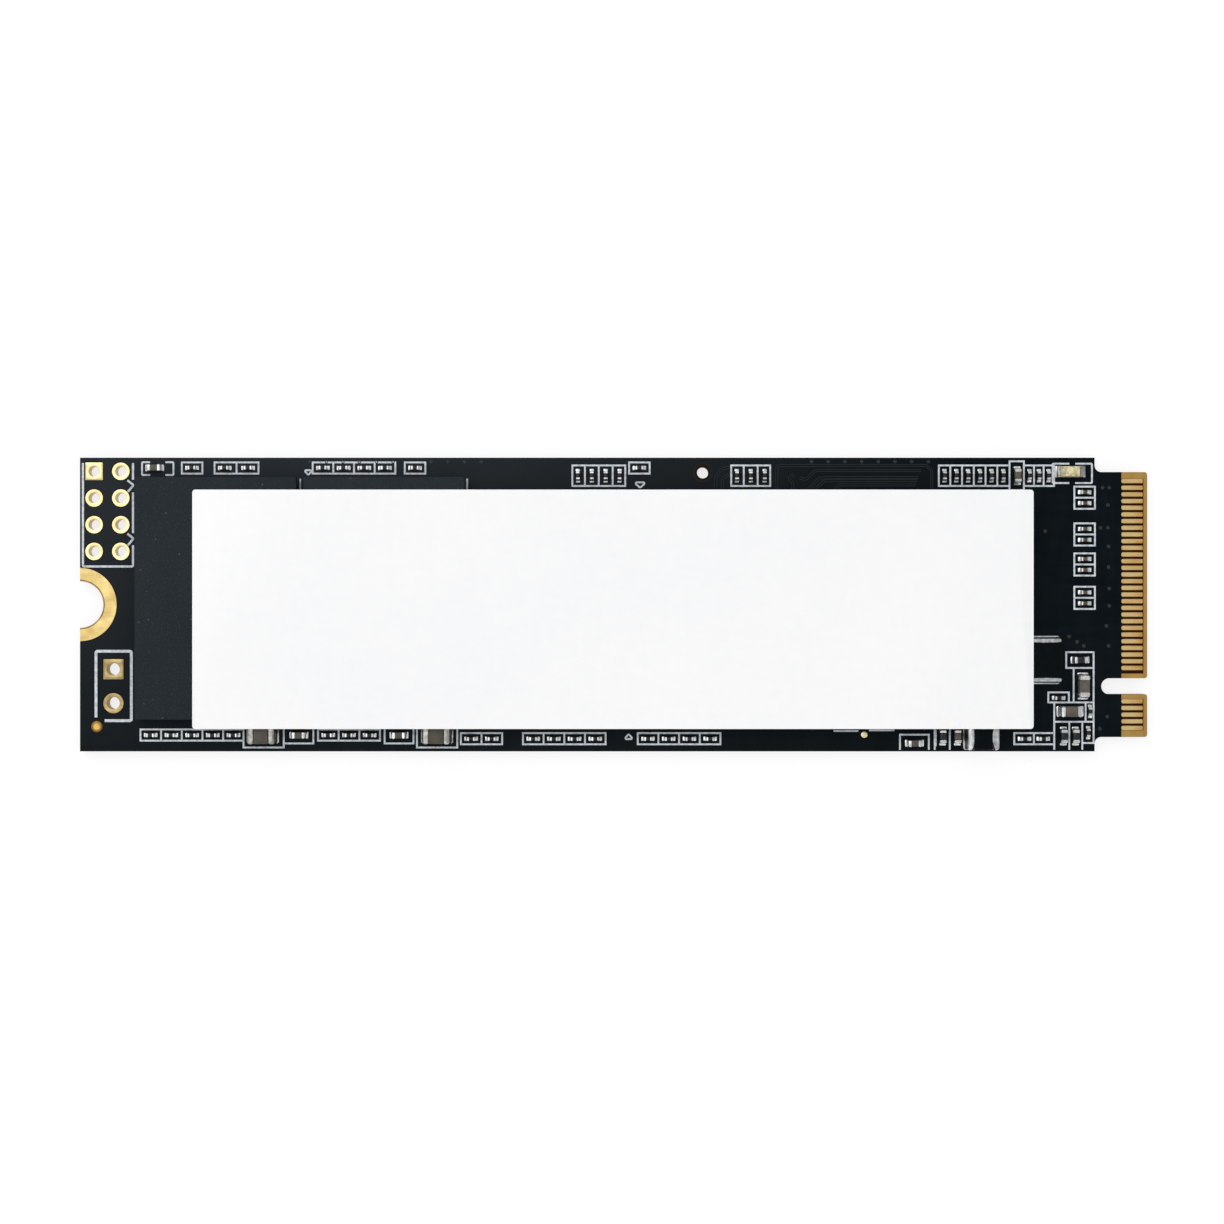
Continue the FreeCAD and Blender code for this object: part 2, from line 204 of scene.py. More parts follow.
def operator(operation, other_first=False):
    """One of Python's operators as a Math node."""

    def work(value, other=0.0):
        pair = (other, value) if other_first else (value, other)
        return value.tree.math(operation, *pair)

    return work


class Value:
    """A socket whose numbers are worked on with Python's own operators."""

    def __init__(self, tree, socket):
        self.tree = tree
        self.socket = socket

    __add__, __radd__ = operator("ADD"), operator("ADD", True)
    __sub__, __rsub__ = operator("SUBTRACT"), operator("SUBTRACT", True)
    __mul__, __rmul__ = operator("MULTIPLY"), operator("MULTIPLY", True)
    __gt__, __lt__ = operator("GREATER_THAN"), operator("LESS_THAN")
    __abs__ = operator("ABSOLUTE")


class Tree:
    """A node tree that is written one node at a time."""

    def __init__(self, tree):
        self.tree = tree

    def node(self, kind, out=None, settings=None, **sockets):
        """Adds a node with its settings, then its socket values or links, and gives one output."""
        made = self.tree.nodes.new(kind)
        for name, setting in (settings or {}).items():
            setattr(made, name, setting)
        for name, value in sockets.items():
            socket = find(made.inputs, name)
            if isinstance(value, Value):
                self.tree.links.new(value.socket, socket)
            else:
                socket.default_value = value
        if not made.outputs:
            return None
        return Value(self, find(made.outputs, out) if out else made.outputs[0])

    def math(self, operation, first, second=0.0):
        """Adds a Math node."""
        settings = {"operation": operation}
        return self.node("ShaderNodeMath", None, settings, Value=first, Value_001=second)

    def vector(self, operation, first, second, out=None):
        """Adds a Vector Math node."""
        settings = {"operation": operation}
        return self.node("ShaderNodeVectorMath", out, settings, Vector=first, Vector_001=second)


class Finish(Tree):
    """A material with one shader. Its patterns are measured in millimetres on the piece itself."""

    def __init__(self, name, **fixed):
        self.material = bpy.data.materials.new(name)
        self.material.use_nodes = True
        super().__init__(self.material.node_tree)
        self.shader = self.tree.nodes["Principled BSDF"]
        for title, value in fixed.items():
            self.shader.inputs[title.replace("_", " ")].default_value = value
        on_piece = self.node("ShaderNodeTexCoord", "Object")
        self.place = self.node("ShaderNodeMapping", Vector=on_piece, Scale=(1 / MM,) * 3)

    def axis(self, letter):
        """One coordinate of the surface, in millimetres."""
        return self.node("ShaderNodeSeparateXYZ", letter, Vector=self.place)

    def grain(self, pitch, detail=2.0, stretch=(1, 1, 1)):
        """Cloudy noise from 0 to 1 with patches about pitch millimetres across."""
        laid = self.vector("MULTIPLY", self.place, stretch)
        return self.node("ShaderNodeTexNoise", "Fac", Vector=laid, Scale=1 / pitch, Detail=detail)

    def specks(self, pitch):
        """Distance from scattered points, for grit and filler grains."""
        return self.node("ShaderNodeTexVoronoi", "Distance", Vector=self.place, Scale=1 / pitch)

    def ramp(self, value, low, high):
        """A value stretched so that low becomes 0 and high becomes 1, and held there."""
        return self.node("ShaderNodeMapRange", "Result", Value=value, From_Min=low, From_Max=high)

    def away_from(self, place):
        """Distance across the board from an upright line through a place, in millimetres."""
        offset = self.vector("SUBTRACT", self.place, (place.x / MM, place.y / MM, 0))
        level = self.vector("MULTIPLY", offset, (1, 1, 0))
        return self.vector("LENGTH", level, (0, 0, 0), "Value")

    def blend(self, share, first, second):
        """The first colour turning into the second as the share goes from 0 to 1."""
        colours = {"A_Color": first, "B_Color": second}
        settings = {"data_type": "RGBA"}
        return self.node("ShaderNodeMix", "Result_Color", settings, Factor_Float=share, **colours)

    def dress(self, colour, roughness, relief, depth):
        """Links colour, roughness and relief to the shader. The depth is in millimetres."""
        bump = self.node("ShaderNodeBump", Height=relief, Distance=depth * MM)
        for title, value in (("Base Color", colour), ("Roughness", roughness), ("Normal", bump)):
            self.tree.links.new(value.socket, self.shader.inputs[title])
        return self.material


class Growth(Tree):
    """A geometry node tree with named inputs."""

    def __init__(self, name, **inputs):
        super().__init__(bpy.data.node_groups.new(name, "GeometryNodeTree"))
        face = self.tree.interface
        self.keys = {}
        for title, kind in {"Carrier": "Geometry", **inputs, "Finish": "Material"}.items():
            made = face.new_socket(title, in_out="INPUT", socket_type="NodeSocket" + kind)
            self.keys[title] = made.identifier
        face.new_socket("Result", in_out="OUTPUT", socket_type="NodeSocketGeometry")
        self.entry = self.tree.nodes.new("NodeGroupInput")

    def given(self, title):
        """The output of a named input."""
        return Value(self, find(self.entry.outputs, self.keys[title]))

    def close(self, shape):
        """Ends the tree: instances made real, one finish on everything."""
        real = self.node("GeometryNodeRealizeInstances", Geometry=shape)
        finish = self.given("Finish")
        dressed = self.node("GeometryNodeSetMaterial", Geometry=real, Material=finish)
        self.node("NodeGroupOutput", Result=dressed)
        return self


def standing_growth():
    """Stands a pattern piece on every point, turned by its angle and a slight random sway."""
    growth = Growth("stand_on_spots", Pattern="Object", Sway="Float", Seed="Int")
    single = {"data_type": "FLOAT"}
    turn = growth.node("GeometryNodeInputNamedAttribute", None, single, Name="turn")
    sway = growth.given("Sway")
    limits = {"Min_001": 0 - sway, "Max_001": sway, "Seed": growth.given("Seed")}
    drift = growth.node("FunctionNodeRandomValue", "Value_001", single, **limits)
    swing = growth.node("FunctionNodeAxisAngleToRotation", Axis=(0, 0, 1), Angle=turn + drift)
    pattern = growth.node("GeometryNodeObjectInfo", "Geometry", Object=growth.given("Pattern"))
    points = growth.given("Carrier")
    kind = "GeometryNodeInstanceOnPoints"
    return growth.close(growth.node(kind, Points=points, Instance=pattern, Rotation=swing))


def ribbon_growth():
    """Lays a flat ribbon of paint or copper along every line, with its bends rounded."""
    growth = Growth("lay_ribbons", Width="Float", Thickness="Float", Bend="Float")
    line = growth.node("GeometryNodeMeshToCurve", Mesh=growth.given("Carrier"))
    bends = {"Radius": growth.given("Bend"), "Limit_Radius": True, "Count": 4}
    bent = growth.node("GeometryNodeFilletCurve", None, {"mode": "POLY"}, Curve=line, **bends)
    level = growth.node("GeometryNodeSetCurveNormal", None, {"mode": "Z_UP"}, Curve=bent)
    sizes = {"Width": growth.given("Width"), "Height": growth.given("Thickness")}
    kind = "GeometryNodeCurvePrimitiveQuadrilateral"
    section = growth.node(kind, None, {"mode": "RECTANGLE"}, **sizes)
    kind = "GeometryNodeCurveToMesh"
    return growth.close(growth.node(kind, Curve=level, Profile_Curve=section, Fill_Caps=True))


def ball_growth():
    """Sets a solder ball on every point."""
    growth = Growth("set_balls", Radius="Float")
    radius, points = growth.given("Radius"), growth.given("Carrier")
    ball = growth.node("GeometryNodeMeshUVSphere", Segments=8, Rings=6, Radius=radius)
    return growth.close(growth.node("GeometryNodeInstanceOnPoints", Points=points, Instance=ball))


STANDING = standing_growth()
RIBBON = ribbon_growth()
BALLS = ball_growth()


# Finishes


def board_finish(runs):
    """Black lacquer on both faces, with light painted on as a gradient; glass laminate where a wall
    or an opening bares it.

    The laminate is tan at the tongue's end; painted shade makes it darker in the shallow openings
    and dark brown in the narrow gaps between contacts.
    """
    finish = Finish("lacquered_board", Specular_IOR_Level=0.05)
    along, across, height = (finish.axis(letter) for letter in "XYZ")
    middle = TOP / MM / 2
    depth = middle - abs(height - middle)
    lacquered = depth < FOIL / MM / 2
    deep = depth > 1.5 * FOIL / MM
    cloud = finish.grain(11.0, 3.0)
    pore = finish.grain(0.22, 3.0)
    weave = finish.grain(0.6, 1.0, (1, 0.2, 1)) + finish.grain(0.6, 1.0, (0.2, 1, 1))
    # Painted light: a lighting gradient makes the lacquer lighter towards the notch end and towards
    # the upper edge; the cloud adds uneven tone of its own.
    drift = finish.ramp(along, spot(66, 0).x / MM, spot(20, 0).x / MM)
    rise = finish.ramp(across, LOWER_EDGE / MM, 9.0)
    share = drift * (0.2 + 0.75 * rise) + cloud * 0.2 - 0.05
    lacquer = finish.blend(share, tone(0, 8, 13), tone(37, 42, 46))
    lacquer = finish.blend(finish.ramp(weave, 0.75, 1.4) * 0.2, lacquer, tone(28, 33, 37))
    halo = finish.ramp(finish.away_from(TOOLING), 0.74, 0.64)
    lacquer = finish.blend(halo * 0.6, lacquer, tone(50, 44, 36))
    fibre = finish.grain(0.5, 3.0, (0.5, 0.5, 12))
    # Painted shade: the laminate in the shallow openings round pads and holes is darker than on the
    # walls and at the tongue.
    opening = finish.blend(fibre, tone(20, 15, 11), tone(40, 31, 22))
    wall = finish.blend(fibre, tone(58, 48, 34), tone(104, 88, 60))
    tan = finish.blend(fibre, tone(142, 108, 54), tone(184, 150, 84))
    # Painted shade: dark brown laminate in the narrow gaps between the contacts.
    brown = finish.blend(fibre, tone(30, 9, 3), tone(52, 21, 7))
    past = along > CONTACT_HIGH.x / MM + 0.07
    beside = (along > CONTACT_LOW.x / MM) * (1 - deep)
    gap_shade_rows = sum((across > low / MM) * (across < high / MM) for low, high in runs)
    bare = finish.blend(deep, opening, wall)
    bare = finish.blend(finish.math("MAXIMUM", past, beside), bare, tan)
    bare = finish.blend(gap_shade_rows * beside * (1 - past), bare, brown)
    colour = finish.blend(lacquered, bare, lacquer)
    roughness = 0.62 - lacquered * (0.24 - pore * 0.12)
    relief = pore * 0.5 + weave * 0.5
    return finish.dress(colour, roughness, relief, 0.006)


def gilt_finish(name, bright, dull, roughness, streak, rim=None):
    """Gold plate on copper: cloudy, faintly pitted, with fine scratches that run along the drive.

    The walls of holes are painted darker, as shade further into the bore. So is a rim, a painted
    shade that fades in between two distances from its place.
    """
    finish = Finish(name, Metallic=1.0)
    cloud = finish.grain(0.9, 3.0)
    scratch = finish.grain(0.09, 4.0, (0.06, 1, 1))
    share = finish.ramp(cloud * (1 - streak) + scratch * streak, 0.32, 0.68)
    colour = finish.blend(share, tone(*dull), tone(*bright))
    middle = TOP / MM / 2
    # Painted shade: the gold turns brown further into a hole from either face.
    painted_bore_shade = finish.ramp(abs(finish.axis("Z") - middle), middle - 0.02, middle - 0.14)
    colour = finish.blend(painted_bore_shade * 0.6, colour, tone(118, 86, 44))
    if rim:
        # Painted shade on a rim: the rounded inner edge of the notch ring, the sloping edge of a
        # domed pad.
        ragged = finish.away_from(rim.place) + 0.06 * (cloud - 0.5)
        painted_rim_shade = finish.ramp(ragged, rim.clear, rim.dark)
        colour = finish.blend(painted_rim_shade * 0.8, colour, tone(106, 72, 32))
    pits = finish.grain(0.05, 2.0)
    varied = roughness + 0.16 * (1 - share)
    return finish.dress(colour, varied, pits * 0.5 + scratch * 0.5, 0.004)


def contact_finish(name, node):
    """Hard gold on a row of contacts: duller where they slide in, and painted darker orange at
    their edges as shade on their rounded sides.
    """
    finish = Finish(name, Metallic=1.0)
    first, second = boxes_in(node)[:2]
    half, pitch = first.size.y / 2 / MM, (second.middle.y - first.middle.y) / MM
    sideways = finish.math("PINGPONG", finish.axis("Y") - first.middle.y / MM, pitch / 2)
    outer = first.high.x / MM
    rubbed = finish.ramp(finish.axis("X"), outer - 1.0, outer)
    scratch = finish.grain(0.05, 4.0, (0.05, 1, 1))
    cloud = finish.grain(0.7, 3.0, (0.5, 1, 1))
    share = finish.ramp(scratch * 0.2 + cloud * 0.8 - rubbed * 0.28, 0.1, 0.5)
    colour = finish.blend(share, tone(206, 150, 78), tone(255, 223, 154))
    # Painted shade: each contact turns darker orange towards its long edges.
    edge = finish.ramp(sideways + 0.04 * (scratch - 0.5), 0.72 * half, half)
    colour = finish.blend(edge * 0.8, colour, tone(122, 64, 18))
    roughness = 0.37 - 0.14 * share
    return finish.dress(colour, roughness, scratch, 0.0012)


def tin_finish(name, dull, bright):
    """Reflowed solder: slightly grainy, with duller flux-stained patches."""
    finish = Finish(name, Metallic=1.0)
    cloud = finish.grain(0.35, 3.0)
    pits = finish.grain(0.06, 2.0)
    share = finish.ramp(cloud, 0.35, 0.65)
    colour = finish.blend(share, tone(*dull), tone(*bright))
    return finish.dress(colour, 0.34 - 0.12 * share, pits * 0.4 + cloud * 0.6, 0.012)


def coil_end_finish(node, bow):
    """Tinned ends of an inductor, each with a bowed inner edge under the black moulding."""
    finish = Finish(node + "_tin")
    _, form, body, lengthwise = chip_seats(node)
    middle, inner = body.middle / MM, form.inner / MM
    along = abs(finish.axis("XY"[lengthwise]) - middle[lengthwise])
    across = (finish.axis("XY"[1 - lengthwise]) - middle[1 - lengthwise]) * (2 * MM / form.width)
    cloud = finish.grain(0.35, 3.0)
    bowed = along - bow * across * across + 0.05 * (cloud - 0.5)
    tinned = finish.ramp(bowed, inner, inner + 0.03)
    tin = finish.blend(finish.ramp(cloud, 0.35, 0.65), tone(170, 172, 172), tone(222, 225, 227))
    finish.tree.links.new(tinned.socket, finish.shader.inputs["Metallic"])
    colour = finish.blend(tinned, tone(5, 9, 12), tin)
    return finish.dress(colour, 0.52 - 0.24 * tinned, cloud, 0.012)


def resin_finish():
    """Moulded package resin: matt charcoal with pale filler grains and faint flow clouds."""
    finish = Finish("package_resin_matt", Specular_IOR_Level=0.15)
    flow = finish.grain(4.0, 3.0, (1, 0.6, 1))
    grit = finish.specks(0.16)
    base = finish.blend(flow, tone(19, 27, 32), tone(31, 40, 45))
    colour = finish.blend(finish.ramp(grit, 0.3, 0.05) * 0.45, base, tone(66, 71, 74))
    dust = finish.ramp(finish.specks(0.9), 0.1, 0.05)
    colour = finish.blend(dust * 0.3, colour, tone(104, 110, 114))
    pore = finish.grain(0.12, 3.0)
    return finish.dress(colour, 0.5 + 0.16 * pore, pore * 0.6 + grit * 0.4, 0.012)


def carrier_finish():
    """The thin laminate under a package: dark green-black with a cut, fibrous edge."""
    finish = Finish("package_carrier", Specular_IOR_Level=0.4)
    fibre = finish.grain(0.3, 3.0, (0.6, 0.6, 8))
    colour = finish.blend(fibre, tone(22, 34, 27), tone(58, 70, 50))
    return finish.dress(colour, 0.45 + 0.2 * fibre, fibre, 0.006)


def ceramic_finish(name, dark, pale, roughness=0.42, gloss=0.4):
    """Fired chip-part ceramic: fine grained, a little uneven in colour."""
    finish = Finish(name, Specular_IOR_Level=gloss)
    cloud = finish.grain(0.5, 3.0)
    grit = finish.grain(0.05, 3.0)
    colour = finish.blend(finish.ramp(cloud * 0.7 + grit * 0.3, 0.3, 0.7), tone(*dark), tone(*pale))
    return finish.dress(colour, roughness + 0.2 * (grit - 0.5), grit * 0.6 + cloud * 0.4, 0.01)


def can_finish():
    """A drawn metal lid with a brushed grain."""
    finish = Finish("can_metal", Metallic=1.0)
    brush = finish.grain(0.08, 3.0, (0.08, 1, 1))
    colour = finish.blend(brush, tone(150, 152, 154), tone(208, 209, 210))
    return finish.dress(colour, 0.3 + 0.15 * brush, brush, 0.004)


def paper_finish():
    """Blank coated label paper with a faint fibre and a satin face."""
    finish = Finish("label_paper_blank", Specular_IOR_Level=0.3)
    fibre = finish.grain(0.5, 4.0, (0.35, 1, 1)) * 0.5 + finish.grain(0.5, 4.0, (1, 0.35, 1)) * 0.5
    cloud = finish.grain(14.0, 2.0)
    share = finish.ramp(fibre * 0.5 + cloud * 0.5, 0.3, 0.7)
    colour = finish.blend(share, tone(243, 244, 245), tone(249, 249, 249))
    return finish.dress(colour, 0.55 + 0.12 * fibre, fibre, 0.005)


def print_finish():
    """White board print: chalky, thin in places, so that some of the lacquer greys it."""
    finish = Finish("board_print_white", Specular_IOR_Level=0.25)
    thin = finish.ramp(finish.grain(0.28, 4.0), 0.42, 0.75)
    colour = finish.blend(thin, tone(212, 218, 223), tone(158, 166, 173))
    return finish.dress(colour, 0.6 + 0.15 * thin, thin, 0.004)


def covered_finish(name, dark, pale, gloss):
    """Lacquer over copper: what lies under it stands out by a shade."""
    finish = Finish(name, Specular_IOR_Level=gloss)
    cloud = finish.grain(1.6, 3.0)
    pore = finish.grain(0.1, 3.0)
    colour = finish.blend(cloud, tone(*dark), tone(*pale))
    return finish.dress(colour, 0.34 + 0.14 * pore, pore, 0.004)


def lens_finish():
    """The lamp's cast lens: cloudy cream resin with a glossy skin."""
    finish = Finish("lamp_lens_cream", Coat_Weight=0.5, Coat_Roughness=0.12)
    cloud = finish.grain(0.24, 4.0)
    fine = finish.grain(0.08, 2.0)
    colour = finish.blend(finish.ramp(cloud, 0.32, 0.68), tone(160, 142, 88), tone(236, 228, 192))
    return finish.dress(colour, 0.3 + 0.15 * fine, cloud, 0.01)


# Meshes


def smoothed(mesh, crease=CREASE):
    """Shades a mesh smooth, with its creases kept sharp."""
    mesh.shade_smooth()
    mesh.set_sharp_from_angle(angle=math.radians(crease))
    return mesh


def meshed(shape, finish, crease=CREASE):
    """The mesh of a finished shape: doubles merged, faces turned outwards."""
    bmesh.ops.remove_doubles(shape, verts=shape.verts, dist=MERGE)
    bmesh.ops.recalc_face_normals(shape, faces=shape.faces)
    mesh = bpy.data.meshes.new("shape")
    shape.to_mesh(mesh)
    shape.free()
    mesh.materials.append(finish)
    return smoothed(mesh, crease)


def put(name, data):
    """A new object in the scene."""
    made = bpy.data.objects.new(name, data)
    bpy.context.scene.collection.objects.link(made)
    return made


def piece(name, mesh, slot, *nodes):
    """A finished piece that rides on the drive, and stands for the CAD nodes that are named."""
    made = put(name, mesh)
    mesh.name = name
    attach(made, "root")
    if nodes:
        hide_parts(*nodes)


def grown(growth, carrier, finish, **inputs):
    """The plain mesh that a geometry node tree makes from a carrier mesh."""
    holder = put("holder", carrier)
    modifier = holder.modifiers.new("growth", "NODES")
    modifier.node_group = growth.tree
    for title, value in {**inputs, "Finish": finish}.items():
        modifier[growth.keys[title]] = value
    graph = bpy.context.evaluated_depsgraph_get()
    mesh = bpy.data.meshes.new_from_object(holder.evaluated_get(graph), depsgraph=graph)
    bpy.data.objects.remove(holder)
    bpy.data.meshes.remove(carrier)
    return smoothed(mesh)


def points_mesh(seats):
    """A carrier of bare points, each with the angle that its piece is turned by."""
    mesh = bpy.data.meshes.new("spots")
    mesh.from_pydata([seat.middle for seat in seats], [], [])
    turns = mesh.attributes.new("turn", "FLOAT", "POINT")
    turns.data.foreach_set("value", [seat.turn for seat in seats])
    return mesh


def stood(pattern_mesh, finish, seats, sway=0.0):
    """One pattern piece stood on every seat, as one mesh."""
    pattern = put("pattern", pattern_mesh)
    inputs = {"Pattern": pattern, "Sway": sway, "Seed": SEAT_SEED}
    mesh = grown(STANDING, points_mesh(seats), finish, **inputs)
    bpy.data.objects.remove(pattern)
    return mesh


def extent(points):
    """The box round some points."""
    low = Vector([min(point[i] for point in points) for i in range(3)])
    high = Vector([max(point[i] for point in points) for i in range(3)])
    return Extent(low, high, (low + high) / 2, high - low)


def islands(node):
    """The corner points of each separate solid in a CAD node, from the notch end along."""
    copy = bmesh.new()
    copy.from_mesh(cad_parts[node].data)
    bmesh.ops.remove_doubles(copy, verts=copy.verts, dist=MERGE)
    waiting = set(copy.verts)
    found = []
    while waiting:
        front = [waiting.pop()]
        group = []
        while front:
            corner = front.pop()
            group.append(corner.co.copy())
            joined = {edge.other_vert(corner) for edge in corner.link_edges} & waiting
            waiting -= joined
            front.extend(joined)
        found.append(group)
    copy.free()
    return sorted(found, key=lambda group: tuple(round(c, 6) for c in extent(group).middle))


def boxes_in(node):
    """The box round each separate solid in a CAD node, from the notch end along."""
    return [extent(points) for points in islands(node)]


def arc(centre, reach, start, end, steps):
    """Points along an ellipse from one angle to another, with its reach along each axis."""
    angles = [start + (end - start) * step / steps for step in range(steps + 1)]
    (x, y), (across, up) = centre, reach
    return [(x + across * math.cos(angle), y + up * math.sin(angle)) for angle in angles]


def skin(shape, rings):
    """Adds the faces between each ring of corners and the next."""
    for ring, following in zip(rings, rings[1:]):
        for i in range(len(ring)):
            shape.faces.new((ring[i - 1], ring[i], following[i], following[i - 1]))


def soften(shape, edges, offset, steps):
    """Rounds some edges of a shape."""
    sizes = {"offset": offset, "segments": steps, "profile": 0.5}
    bmesh.ops.bevel(shape, geom=list(edges), affect="EDGES", **sizes)


def rounded_block(shape, low, high, edge, steps=2):
    """Adds a block whose edges are all rounded."""
    corners = bmesh.ops.create_cube(shape, size=1.0)["verts"]
    middle, size = (low + high) / 2, high - low
    for corner in corners:
        corner.co = middle + corner.co * size
    soften(shape, {side for corner in corners for side in corner.link_edges}, edge, steps)


def block_mesh(low, high, edge, finish, steps=2):
    """The mesh of one block with rounded edges."""
    shape = bmesh.new()
    rounded_block(shape, low, high, edge, steps)
    return meshed(shape, finish)


def rounded_corners(low, high, radius):
    """The outline of a rectangle with rounded corners, in plan."""
    left, bottom, right, top = low.x + radius, low.y + radius, high.x - radius, high.y - radius
    outline = []
    for i, centre in enumerate(((right, top), (left, top), (left, bottom), (right, bottom))):
        outline += arc(centre, (radius, radius), i * QUARTER, (i + 1) * QUARTER, CORNER_STEPS)
    return outline


def prism(shape, outline, bottom, top):
    """Adds an upright prism and gives its lower and upper faces."""
    rings = [[shape.verts.new((x, y, z)) for x, y in outline] for z in (bottom, top)]
    lower, upper = shape.faces.new(rings[0][::-1]), shape.faces.new(rings[1])
    skin(shape, rings)
    return lower, upper


def turned(shape, profile, centre, sides=PAD_SIDES, start=0.0, sweep=2 * math.pi, square=None):
    """Sweeps a closed profile of (radius, height) points about an upright axis.

    Points past the square radius are moved out to a square.
    """
    whole = sweep > 2 * math.pi - SAME
    stations = sides if whole else sides + 1
    rings = []
    for station in range(stations):
        angle = start + sweep * station / sides
        reach = 1 / max(abs(math.cos(angle)), abs(math.sin(angle)))
        ring = []
        for radius, height in profile:
            out = radius * reach if square and radius > square else radius
            place = (centre.x + out * math.cos(angle), centre.y + out * math.sin(angle), height)
            ring.append(shape.verts.new(place))
        rings.append(ring)
    if whole:
        rings.append(rings[0])
    else:
        shape.faces.new(rings[0])
        shape.faces.new(rings[-1][::-1])
    skin(shape, rings)


# Gold


def with_mirror(profile, bottom, top):
    """A section together with its mirror image between two heights."""
    return profile + [(radius, bottom + top - height) for radius, height in reversed(profile)]


def hole_profile(bore, pad, bottom, top):
    """Section of a plated hole: a sleeve with a thin flange in each face and rounded lips."""
    upper = [
        (pad, top - FOIL),
        (pad, top - LIP),
        (pad - LIP, top),
        (bore + 2 * LIP, top),
        (bore + 0.6 * LIP, top - 0.6 * LIP),
        (bore, top - 2 * LIP),
    ]
    sleeve = bore + PLATING
    return with_mirror(upper, bottom, top) + [(sleeve, bottom + FOIL), (sleeve, top - FOIL)]


def plated_holes(node, name, finish):
    """The plated holes of a header: round pads stood on their seats, and the square first one."""
    found = []
    for points in islands(node):
        box = extent(points)
        found.append((box, [(point - box.middle).xy.length for point in points]))
    first = max(found, key=lambda hole: max(hole[1]))[0]
    bore, pad = min(found[0][1]), first.size.x / 2
    profile = hole_profile(bore, pad, 0.0, TOP)
    pattern = bmesh.new()
    turned(pattern, profile, Vector((0, 0, 0)))
    seats = [Seat(Vector((*box.middle.xy, 0)), 0.0) for box, _ in found if box is not first]
    piece(name, stood(meshed(pattern, finish, SOFT_CREASE), finish, seats), "gold_plate", node)
    shape = bmesh.new()
    turned(shape, profile, first.middle, square=pad - 2 * LIP)
    piece(name + "_first", meshed(shape, finish, SOFT_CREASE), "gold_plate")


def notch_rings():
    """The gilt half rings round the screw notch, one in each face."""
    shape = bmesh.new()
    centre = Vector((NOTCH_END, 0, 0))
    for points in islands("mounting_pads"):
        box = extent(points)
        outer = box.size.x
        inner = min((point - centre).xy.length for point in points)
        low, high = box.low.z, box.high.z
        edge = [(inner, low + LIP), (inner + LIP, low), (outer - LIP, low), (outer, low + LIP)]
        profile = with_mirror(edge, low, high)
        turned(shape, profile, centre, start=-QUARTER, sweep=2 * QUARTER)
    piece("notch_rings", meshed(shape, RING_GOLD), "gold_plate", "mounting_pads")


def contact_runs():
    """The runs of contacts on either side of the key slot, as (from, to) across the board."""
    nodes = ("contact_fingers_upper", "contact_fingers_lower")
    runs = [(box.low.y, box.high.y) for node in nodes for box in boxes_in(node)]
    return joined_runs(runs, RUN_GAP)


def gold_contacts(node, name, finish, upward):
    """A row of edge contacts: thin bars with a round inner end and softened edges."""
    boxes = boxes_in(node)
    half = boxes[0].size / 2
    inner, outer = CONTACT_INNER * half.y, CONTACT_OUTER * half.y
    outline = arc((half.x - outer, half.y - outer), (outer, outer), 0, QUARTER, 2)
    outline += arc((inner - half.x, half.y - inner), (inner, inner), QUARTER, 2 * QUARTER, 5)
    outline += [(x, -y) for x, y in reversed(outline)]
    pattern = bmesh.new()
    lower, upper = prism(pattern, outline, -half.z, half.z)
    soften(pattern, (upper if upward else lower).edges, 0.9 * LIP, 1)
    seats = [Seat(box.middle, 0.0) for box in boxes]
    piece(name, stood(meshed(pattern, finish, SOFT_CREASE), finish, seats), "gold_plate", node)


def bare_pads(names, finishes):
    """Round test pads, domed by their plating, from the notch end along."""
    nodes = ("test_pads",)
    for name, finish, points in zip(names, finishes, islands("test_pads")):
        box = extent(points)
        radius, low, high = box.size.x / 2, box.low.z, box.high.z
        profile = [
            (0, low),
            (radius, low),
            (radius, high - 1.6 * LIP),
            (0.92 * radius, high - 0.9 * LIP),
            (0.6 * radius, high - 0.3 * LIP),
            (0, high),
        ]
        shape = bmesh.new()
        turned(shape, profile, box.middle)
        piece(name, meshed(shape, finish), "gold_plate", *nodes)
        nodes = ()


# Packages


def ball_points(boxes):
    """A grid of points under each package, clear of its edges."""
    points, pitch = [], BALL_PITCH
    for box in boxes:
        counts = [math.floor((box.size[i] - pitch) / pitch) + 1 for i in range(2)]
        first = [box.middle[i] - (counts[i] - 1) * pitch / 2 for i in range(2)]
        for column, line in itertools.product(*map(range, counts)):
            x, y = first[0] + column * pitch, first[1] + line * pitch
            points.append(Vector((x, y, TOP + BALL_HEIGHT / 2)))
    return points


def packages():
    """The moulded packages, each a resin block on a thin carrier that stands on solder balls."""
    names = {
        "memory_chip_outer": "memory_package_outer",
        "memory_chip_inner": "memory_package_inner",
        "cache_chip": "cache_package",
        "controller_chip": "controller_package",
    }
    boxes = []
    carriers = bmesh.new()
    for node, name in names.items():
        low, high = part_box(node)
        boxes.append(extent([low, high]))
        foot = low.z + BALL_HEIGHT
        seam = foot + CARRIER_HEIGHT
        base, crown = Vector((*low.xy, foot)), Vector((*high.xy, seam))
        rounded_block(carriers, base, crown, PACKAGE_EDGE / 3, 1)
        mesh = block_mesh(Vector((*low.xy, seam)), high, PACKAGE_EDGE, RESIN, 3)
        piece(name, mesh, "package_resin", node)
    piece("package_carriers", meshed(carriers, CARRIER), "package_resin")
    carrier = bpy.data.meshes.new("ball_spots")
    carrier.from_pydata(ball_points(boxes), [], [])
    piece("package_balls", grown(BALLS, carrier, TIN, Radius=BALL_HEIGHT / 2), "solder_tin")


